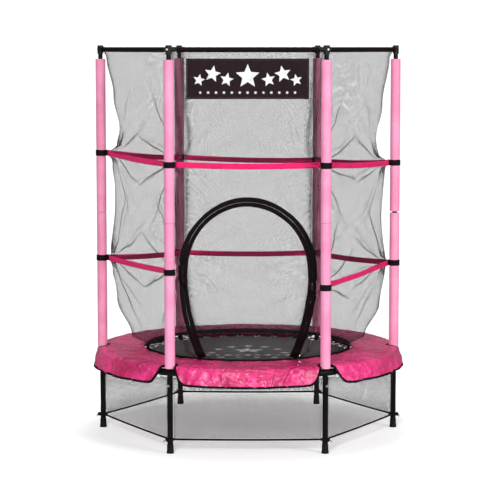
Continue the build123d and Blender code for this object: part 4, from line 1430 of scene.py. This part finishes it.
def pad_thickness(distance):
    """Foam inside the top, bare cloth in the skirt."""
    share = smoothstep((distance - (PAD_FOLD - 0.022)) / 0.03)
    edge = smoothstep(distance / 0.006)
    return (0.0102 * (0.6 + 0.4 * edge)) * (1 - share) + 0.0022 * share


def pad_columns():
    """Angles round the ring, close together where the edge turns into a notch."""
    places = [0.0, 0.004, 0.010, 0.016, 0.021, 0.0245, 0.0265, 0.0276, NOTCH, NOTCH + 0.0012]
    places += [NOTCH + d for d in (0.003, 0.006, 0.010, 0.015, 0.021, 0.028, 0.036, 0.045, 0.055)]
    half = STEP / 2 * RING_R
    start = places[-1]
    count = 42
    places += [start + (half - start) * i / count for i in range(1, count + 1)]
    angles = []
    for corner in range(CORNERS):
        base = corner * STEP
        side = [base + p / RING_R for p in places]
        other = [base + STEP - p / RING_R for p in reversed(places[1:-1])]
        angles += side + other
    return angles


PAD_ANGLES = pad_columns()
PAD_ROWS = 46
pad_points, pad_uvs = [], []
for depth in (0, 1):
    for angle in PAD_ANGLES:
        limit = pad_limit(beside_pole(angle))
        for j in range(PAD_ROWS):
            distance = limit * (j / (PAD_ROWS - 1)) ** 0.9
            place, facing, along = pad_point(angle, distance)
            pad_points.append(place - facing * pad_thickness(distance) * depth)
            pad_uvs.append((along, distance))
outer_count = len(pad_points) // 2
pad_faces = grid_faces(len(PAD_ANGLES), PAD_ROWS, wrap_columns=True)
pad_faces += grid_faces(len(PAD_ANGLES), PAD_ROWS, wrap_columns=True, start=outer_count)
for i in range(len(PAD_ANGLES)):
    after = (i + 1) % len(PAD_ANGLES)
    for j in (0, PAD_ROWS - 1):
        a, b = i * PAD_ROWS + j, after * PAD_ROWS + j
        pad_faces.append((a, b, outer_count + b, outer_count + a))
edge_pad = outward(mesh_object("padded_ring", pad_points, pad_faces, pad_uvs))

# %% Pad finish, binding and stitches
pad_paint = Paint("coated_cloth_pink", (0.7, 0.03, 0.2), 0.36, Coat_Weight=0.12, Coat_Roughness=0.25)
u, v = pad_paint.cloth()
threads = (u * (math.tau / 0.0011)).sine() * (v * (math.tau / 0.0011)).sine() * 0.5 + 0.5
slow = pad_paint.noise(7.0, 4.0)
crinkle = pad_paint.noise(26.0, 4.0, 0.55, distortion=0.8)
sharp = abs(pad_paint.noise(8.5, 2.0, distortion=1.3) * 2 - 1)
folded = (1 - sharp).power(7.0)
# Base colour: the slow noise is random tone. The crinkle and fold terms are painted shade and highlight:
# lighter pink on the raised crinkles and fold ridges, darker pink in their hollows.
tone_and_painted_crease_light = (slow.ramp(0.3, 0.7) * 0.5 + crinkle.ramp(0.35, 0.65) * 0.25 + folded * 0.3).clamped()
pad_paint.set("Base Color", pad_paint.mix(tone_and_painted_crease_light, (0.40, 0.006, 0.075), (0.95, 0.045, 0.27)))
pad_paint.set("Roughness", (crinkle * 0.24 + 0.16).clamped())
pad_paint.bump(crinkle * 1.3 + folded * 1.3 + threads * 0.02, 0.0040)
finish_piece(edge_pad, pad_paint, "frame", "pad_pink", "edge_pad")

edge_points = []
binding_section = [(-0.5, -1), (-0.5, 1), (0.0, 1.15), (0.5, 1), (0.5, -1), (0.0, -1.15)]
rim_frames = []
for angle in PAD_ANGLES:
    beside = beside_pole(angle)
    limit = pad_limit(beside)
    place, facing, _ = pad_point(angle, limit)
    rim_frames.append((place - facing * pad_thickness(limit) / 2, facing, pad_thickness(limit)))
ring_count = len(rim_frames)
edge_uvs, run = [], 0.0
for i, (place, facing, thick) in enumerate(rim_frames):
    ahead = rim_frames[(i + 1) % ring_count][0]
    behind = rim_frames[i - 1][0]
    run += (place - behind).length if i else 0.0
    tangent = (ahead - behind).normalized()
    across = tangent.cross(facing).normalized()
    for w, t in binding_section:
        edge_points.append(place - across * (w * 0.0095 + 0.0028) + facing * t * (thick / 2 + 0.0009))
        edge_uvs.append((w * 0.0095, run))
pad_binding = mesh_object(
    "pad_edge_binding",
    edge_points,
    grid_faces(ring_count, len(binding_section), wrap_columns=True, wrap_rows=True),
    edge_uvs,
)
finish_piece(outward(pad_binding), black_tape, "frame", "binding_black")

seam_rows = []
for distance in (0.010, PAD_FOLD - 0.030):
    path, facings = [], []
    for i in range(721):
        angle = math.tau * i / 720
        beside = beside_pole(angle)
        if pad_limit(beside) < distance + 0.004:
            if len(path) > 1:
                seam_rows.append((path, facings))
            path, facings = [], []
            continue
        place, facing, _ = pad_point(angle, distance)
        path.append(place + facing * 0.0002)
        facings.append(facing)
    if len(path) > 1:
        seam_rows.append((path, facings))
row("pad_stitches", [p for p, _ in seam_rows], [f for _, f in seam_rows], 0.0058,
    (0.0042, 0.0009, 0.0007), pink_thread, "frame")

# %% [markdown]
# ## The mat and what holds it
# The mat is woven plastic cloth, nearly black, with faint ribs where it was folded for packing and a
# light print in the middle. Under its edge runs a band of webbing whose folded tabs hold the wire
# rings, and an elastic loop ties each ring to the frame.

# %% Mat
mat_paint = Paint("mat_weave_black", (0.02, 0.018, 0.019), 0.5, Sheen_Weight=0.12, Sheen_Roughness=0.4)
u, v = mat_paint.cloth()
warp = (u * (math.tau / 0.0026)).sine()
weft = (v * (math.tau / 0.0026)).sine()
basket = warp * weft * 0.5 + 0.5
worn = mat_paint.noise(5.0, 5.0, 0.6)
mat_tone = (basket * 0.5 + worn.ramp(0.3, 0.7) * 0.5).clamped()
mat_paint.set("Base Color", mat_paint.mix(mat_tone, (0.010, 0.008, 0.009), (0.042, 0.036, 0.038)))
mat_paint.set("Roughness", (worn * 0.2 + basket * 0.1 + 0.36).clamped())
mat_paint.bump(basket, 0.0004)
MAT_T = mat_high.z - mat_low.z


def mat_height_at(x, y):
    """The mat's upper face: flat, with low ridges where it was folded, and a slight sag."""
    radius = math.hypot(x, y)
    fall = 0.0025 * (1 - (radius / MAT_R) ** 2)
    ridge = 0.0
    for k in range(3):
        turn = k * math.pi / 3 + 0.35
        off = abs(x * math.sin(turn) - y * math.cos(turn))
        ridge += 0.0011 * math.exp(-((off / 0.006) ** 2))
    ring = 0.0008 * math.exp(-(((radius - MAT_R + 0.037) / 0.004) ** 2))
    return MAT_TOP - 0.0010 - fall + ridge * (1 - (radius / MAT_R) ** 6) + ring


mat_points, mat_uvs = [], []
RINGS, SPOKES = 90, 168
for i in range(RINGS):
    radius = MAT_R * (0.004 + 0.996 * i / (RINGS - 1))
    for k in range(SPOKES):
        angle = math.tau * k / SPOKES
        x, y = radius * math.cos(angle), radius * math.sin(angle)
        mat_points.append((x, y, mat_height_at(x, y)))
        mat_uvs.append((x, y))
mat_faces = grid_faces(RINGS, SPOKES, wrap_rows=True)
mat_faces.append(tuple(range(SPOKES)))
mat_sheet = mesh_object("jumping_mat", mat_points, mat_faces, mat_uvs)
thicken(mat_sheet, MAT_T * 0.8)
finish_piece(outward(mat_sheet), mat_paint, "mat", "mat_black", "mat")

edge_rows = []
for inset in (0.006, 0.031):
    circle = [polar(MAT_R - inset, math.tau * i / 240, 0) for i in range(241)]
    edge_rows.append([p + Vector((0, 0, mat_height_at(p.x, p.y) + 0.0010)) for p in circle])
row("mat_stitches", edge_rows, [[(0, 0, 1)] * 241] * 2, 0.0056, (0.0042, 0.0009, 0.0007), grey_thread,
    "mat")

grey_print = webbing("mat_print_grey", (0.72, 0.70, 0.71), rib=0.0026, sheen=0.0, rough=0.6)
print_spots = [(0.0, 0.03, 0.075, 0.0)]
for k in range(7):
    angle = math.pi * (0.06 + 0.88 * k / 6)
    print_spots.append((0.17 * math.cos(angle), -0.08 + 0.24 * math.sin(angle), 0.024, angle))
for k in range(9):
    print_spots.append((0.18 * (k / 4 - 1), -0.10, 0.014 if k % 2 else 0.020, 0.4 * k))
for k in range(4):
    print_spots.append((0.08 * (k - 1.5), -0.165, 0.022, 0.2 * k))
mat_stars = star_mesh("mat_print", print_spots, lambda x, y: Vector((x, y, mat_height_at(x, y) + 0.0009)))
thicken(mat_stars, 0.0003)
finish_piece(outward(mat_stars), grey_print, "mat", "mat_black")

# %% Mat webbing, tabs and elastic loops
ring_low, ring_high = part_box("mat_rings")
LOOPS = 36
BAR_R = MAT_R + 0.010
WIRE = ring_high.z - ring_low.z
parts = []
steps = 216
flat_centres = [polar(MAT_R - 0.017, math.tau * i / steps, MAT_TOP - MAT_T - 0.0014) for i in range(steps)]
radial = [polar(1, math.tau * i / steps, 0) for i in range(steps)]
parts.append(ribbon("webbing_ring", flat_centres, radial, [Vector((0, 0, 1))] * steps, 0.034, 0.0022, True))
tab_width = 0.016
for k in range(LOOPS):
    angle = math.tau * (k + 0.5) / LOOPS
    out, aside = polar(1, angle, 0), polar(1, angle + math.pi / 2, 0)
    bar = out * BAR_R + Vector((0, 0, (ring_low.z + ring_high.z) / 2))
    reach = WIRE / 2 + 0.0014
    low = MAT_TOP - MAT_T - 0.0036
    path = [out * (MAT_R - 0.026) + Vector((0, 0, low)), out * (MAT_R - 0.006) + Vector((0, 0, low))]
    for i in range(11):
        turn = -math.pi / 2 + math.pi * i / 10
        path.append(bar + reach * (out * math.cos(turn) + Vector((0, 0, math.sin(turn)))))
    path.append(out * (MAT_R + 0.0018) + Vector((0, 0, bar.z + reach * 0.7)))
    outs = []
    for i in range(len(path)):
        ahead = path[min(i + 1, len(path) - 1)] - path[max(i - 1, 0)]
        outs.append(aside.cross(ahead).normalized() * -1)
    parts.append(ribbon(f"tab_{k}", path, [aside] * len(path), outs, tab_width, 0.0015))
mat_webbing = join("mat_edge_webbing", parts)
finish_piece(mat_webbing, black_webbing, "mat", "webbing_black", "mat_webbing")

elastic = webbing("elastic_black", (0.008, 0.006, 0.0065), rib=0.0013, sheen=0.01, rough=0.65, shine=0.1)
CORD_R = 0.0025
TOUCH_GAP = 0.0003  # left open between a cord and what it goes round
BIG = RING_TUBE / 2 + CORD_R + TOUCH_GAP
SMALL = WIRE / 2 + CORD_R + TOUCH_GAP
OUTER_BAR = 0.480
for k in range(LOOPS):
    angle = math.tau * (k + 0.5) / LOOPS
    out = polar(1, angle, 0)
    lean = math.asin((BIG - SMALL) / (RING_R - OUTER_BAR))
    path = []
    for i in range(13):
        turn = math.pi / 2 + lean - (math.pi + 2 * lean) * i / 12
        path.append(out * (RING_R + BIG * math.cos(turn)) + Vector((0, 0, RING_Z + BIG * math.sin(turn))))
    for i in range(1, 10):
        path.append(path[12].lerp(out * OUTER_BAR + Vector((0, 0, RING_Z - SMALL)), i / 10))
    for i in range(9):
        turn = -math.pi / 2 - lean - (math.pi - 2 * lean) * i / 8
        bar_z = RING_Z + SMALL * math.sin(turn)
        path.append(out * (OUTER_BAR + SMALL * math.cos(turn)) + Vector((0, 0, bar_z)))
    for i in range(1, 10):
        path.append(path[30].lerp(path[0], i / 10))
    aside = polar(1, angle + math.pi / 2, 0)
    loop = tube(f"elastic_loop_{k + 1}", path, CORD_R, 8, closed=True, up=aside)
    finish_piece(loop, elastic, None, "elastic_black", "bungee_cords")
    tuple(out * (RING_R + 0.004))
    tuple(out * (OUTER_BAR - 0.002))
    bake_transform(loop)

# %% [markdown]
# ## Pad ties
# Beside every pole an elastic goes round the ring tube and ends in a white ball, which keeps the pad
# down.

# %% Ties and balls
TIE_TURN = (0.040 + 0.0095) / RING_R
TIE_R = 0.0015
BALL_R = 0.008
tie_loops, balls = [], []
for corner in range(CORNERS):
    for side in (-1, 1):
        angle = corner * STEP + side * TIE_TURN
        out, aside = polar(1, angle, 0), polar(1, angle + math.pi / 2, 0)
        centre = out * RING_R + Vector((0, 0, RING_Z))
        reach = RING_TUBE / 2 + TOUCH_GAP + TIE_R
        ring = []
        for i in range(28):
            turn = math.tau * i / 28
            ring.append(centre + reach * (out * math.cos(turn) + Vector((0, 0, math.sin(turn)))))
        tie_loops.append(tube(f"tie_{len(tie_loops)}", ring, TIE_R, 8, closed=True, up=aside))
        slant = (out + Vector((0, 0, -1))).normalized()
        ball_at = centre + slant * (reach + 0.0087)
        stem = [centre + slant * reach, ball_at + slant * 0.009]
        tie_loops.append(tube(f"stem_{len(tie_loops)}", stem, TIE_R, 8, up=aside))
        points, uvs = [], []
        rows, sides = 17, 22
        for i in range(rows):
            tilt = 0.18 + (math.pi - 0.36) * i / (rows - 1)
            for k in range(sides):
                turn = math.tau * k / sides
                bulge = BALL_R * (1 + 0.02 * math.cos(tilt * 2))
                lift = slant.cross(aside)
                wide = bulge * math.sin(tilt)
                around = aside * math.cos(turn) + lift * math.sin(turn)
                points.append(ball_at + around * wide - slant * bulge * math.cos(tilt))
                uvs.append((turn * BALL_R, tilt * BALL_R))
        faces = grid_faces(rows, sides, wrap_rows=True)
        faces.append(tuple(reversed(range(sides))))
        faces.append(tuple(range((rows - 1) * sides, rows * sides)))
        balls.append(outward(mesh_object(f"ball_{len(balls)}", points, faces, uvs)))
finish_piece(join("pad_tie_elastics", tie_loops), elastic, "frame", "elastic_black", "pad_ties")
finish_piece(join("pad_tie_balls", balls), white_plastic, "frame", "toggle_white", "pad_ties")

# %% [markdown]
# ## The net skirt
# Six walls of a coarser net close the space between the legs. Each hangs from the ring and is drawn
# straight at its foot by a cord that is tied round every leg.

# %% Ground net and its cord
GROUND_TOP = ground_high.z
GROUND_LOW = ground_low.z
LEG_GAP = 0.0155
cord_low, cord_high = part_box("ground_hem_cord")
CORD_Z = (cord_low.z + cord_high.z) / 2
for number in range(CORNERS):
    angle = side_angle(number)
    out, aside = side_axes(angle)
    columns, rows = 84, 36
    edge_turn = STEP / 2 - LEG_GAP / RING_R
    points, uvs, gather = [], [], []
    for i in range(columns):
        share = 2 * i / (columns - 1) - 1
        for j in range(rows):
            t = j / (rows - 1)
            top = polar(RING_R, angle + edge_turn * share, GROUND_TOP)
            foot = out * CORNER_APOTHEM + aside * (HALF_SIDE - LEG_GAP) * share + Vector((0, 0, GROUND_LOW))
            place = foot.lerp(top, t)
            wave = 0.0035 * noise.noise(Vector((share * 6 + number * 3, t * 2, 3.0)))
            wave += 0.0020 * math.sin(share * 60) * t**3
            place += out * wave * min(1.0, (1 - abs(share)) / 0.06) * min(1.0, t / 0.1)
            points.append(place)
            uvs.append((share * HALF_SIDE, t * (GROUND_TOP - GROUND_LOW)))
            gather.append(0.25 * max(0.0, (t - 0.9) / 0.1) + 0.4 * max(0.0, (abs(share) - 0.97) / 0.03))
    faces = grid_faces(columns, rows)
    skirt = mesh_object(f"ground_skirt_{number + 1}", points, faces, uvs, values={"gather": gather})
    finish_piece(skirt, ground_netting, "frame", "net_black", "ground_net")

cord_parts = []
CORD = (cord_high.z - cord_low.z) / 2
LEG_R = 0.0125
for corner in range(CORNERS):
    angle = corner * STEP
    leg = polar(RING_R, angle, CORD_Z)
    grip = LEG_R + CORD + TOUCH_GAP
    ring = []
    for i in range(36):
        turn = math.tau * i / 36
        sway = 0.0012 * math.sin(turn * 2 + corner)
        ring.append(leg + grip * Vector((math.cos(turn), math.sin(turn), 0)) + Vector((0, 0, sway)))
    cord_parts.append(tube(f"round_leg_{corner}", ring, CORD, 10, closed=True))
    knot_at = leg + polar(grip + 0.001, angle, 0)
    knot = []
    for i in range(48):
        turn = math.tau * i / 48
        wind = Vector((math.cos(turn * 2) * 0.0050, math.sin(turn * 3) * 0.0054, math.sin(turn * 2) * 0.0062))
        knot.append(knot_at + Matrix.Rotation(angle, 3, "Z") @ wind)
    cord_parts.append(tube(f"knot_{corner}", knot, 0.0024, 8, closed=True))
    for side in (-1, 1):
        tail = []
        for i in range(10):
            t = i / 9
            reach = 0.002 + 0.010 * t - 0.002 * t * t
            offset = Vector((reach, side * (0.003 + 0.013 * t), 0.004 * t - 0.012 * t * t))
            tail.append(knot_at + Matrix.Rotation(angle, 3, "Z") @ offset)
        cord_parts.append(tube(f"tail_{corner}_{side}", tail, 0.0016, 8))
    angle = side_angle(corner)
    out, aside = side_axes(angle)
    run = []
    half = HALF_SIDE - grip
    for i in range(61):
        along = half * (i / 30 - 1)
        sag = 0.0022 * (1 - (along / half) ** 2)
        run.append(out * CORNER_APOTHEM + aside * along + Vector((0, 0, CORD_Z - sag)))
    cord_parts.append(tube(f"run_{corner}", run, CORD, 12, flat=0.95))
ground_cord = join("ground_drawcord", cord_parts)
finish_piece(ground_cord, black_webbing, "frame", "binding_black", "ground_hem_cord")

# %% [markdown]
# ## Floor, light and camera
# A pale floor fades out a little way from the object, so the ground has no visible end, and the
# world behind it is plain white to the camera but gives only moderate light. The floor glows for
# the camera only, with a painted shadow that darkens it under and around the trampoline and painted
# light that brightens it a little towards the back. One large soft lamp from the upper left and
# front models the shapes, a weaker one fills from the right.

# %% Stage
floor_paint = Paint("studio_floor", (0.86, 0.86, 0.86), 0.9, Emission_Strength=1.15)
x, y, _ = floor_paint.place()
away = (x * x + y * y).root()
seen_direct = floor_paint.term(floor_paint.node("LightPath").outputs["Is Camera Ray"])
floor_paint.set("Alpha", 1 - away.ramp(0.80, 1.75))
# Camera-only floor glow with painted light and shadow: dimmer near the middle as a painted shadow under the
# trampoline, a little brighter towards the back (+Y) as painted light.
floor_light_with_painted_shadow = (away.ramp(0.72, 1.25) * 0.66 + y.ramp(-0.45, 0.60) * 0.14 + 0.34).clamped() * seen_direct
floor_paint.set("Emission Color", floor_paint.mix(floor_light_with_painted_shadow, (0, 0, 0), (1, 1, 1)))
floor_points = [(0, 0, 0)] + [tuple(polar(1.8, math.tau * i / 96, 0)) for i in range(96)]
floor_faces = [(0, 1 + i, 1 + (i + 1) % 96) for i in range(96)]
floor = mesh_object("studio_floor", floor_points, floor_faces)
floor.data.materials.append(floor_paint.material)

world = bpy.data.worlds.new("studio")
bpy.context.scene.world = world
world.use_nodes = True
nodes, links = world.node_tree.nodes, world.node_tree.links
background = nodes["Background"]
background.inputs["Color"].default_value = (1, 1, 1, 1)
background.inputs["Strength"].default_value = 0.30
bright = nodes.new("ShaderNodeBackground")
bright.inputs["Strength"].default_value = 1.42
seen = nodes.new("ShaderNodeLightPath")
choice = nodes.new("ShaderNodeMixShader")
links.new(seen.outputs["Is Camera Ray"], choice.inputs[0])
links.new(background.outputs[0], choice.inputs[1])
links.new(bright.outputs[0], choice.inputs[2])
links.new(choice.outputs[0], nodes["World Output"].inputs[0])


def lamp(name, place, target, size, power):
    data = bpy.data.lights.new(name, "AREA")
    data.shape = "DISK"
    data.size = size
    data.energy = power
    piece = bpy.data.objects.new(name, data)
    piece.location = place
    piece.rotation_euler = (Vector(target) - Vector(place)).to_track_quat("-Z", "Y").to_euler()
    bpy.context.collection.objects.link(piece)
    return piece


lamp("key_light", (-1.3, -7.0, 3.2), (0, 0, 0.9), 1.6, 355)
lamp("fill_light", (4.6, -4.2, 2.2), (0, 0, 0.8), 2.2, 190)
lamp("top_light", (0.0, 0.6, 4.6), (0, 0, 0.3), 2.2, 60)

camera_data = bpy.data.cameras.new("camera")
camera_data.sensor_width = 36
camera_data.lens = 138.2
camera = bpy.data.objects.new("camera", camera_data)
camera.location = (0.0277, -8.66, 1.733)
camera.rotation_euler = (math.radians(90 - 6.056), 0, math.radians(0.126))
bpy.context.collection.objects.link(camera)
bpy.context.scene.camera = camera
bpy.context.scene.view_settings.view_transform = "Standard"
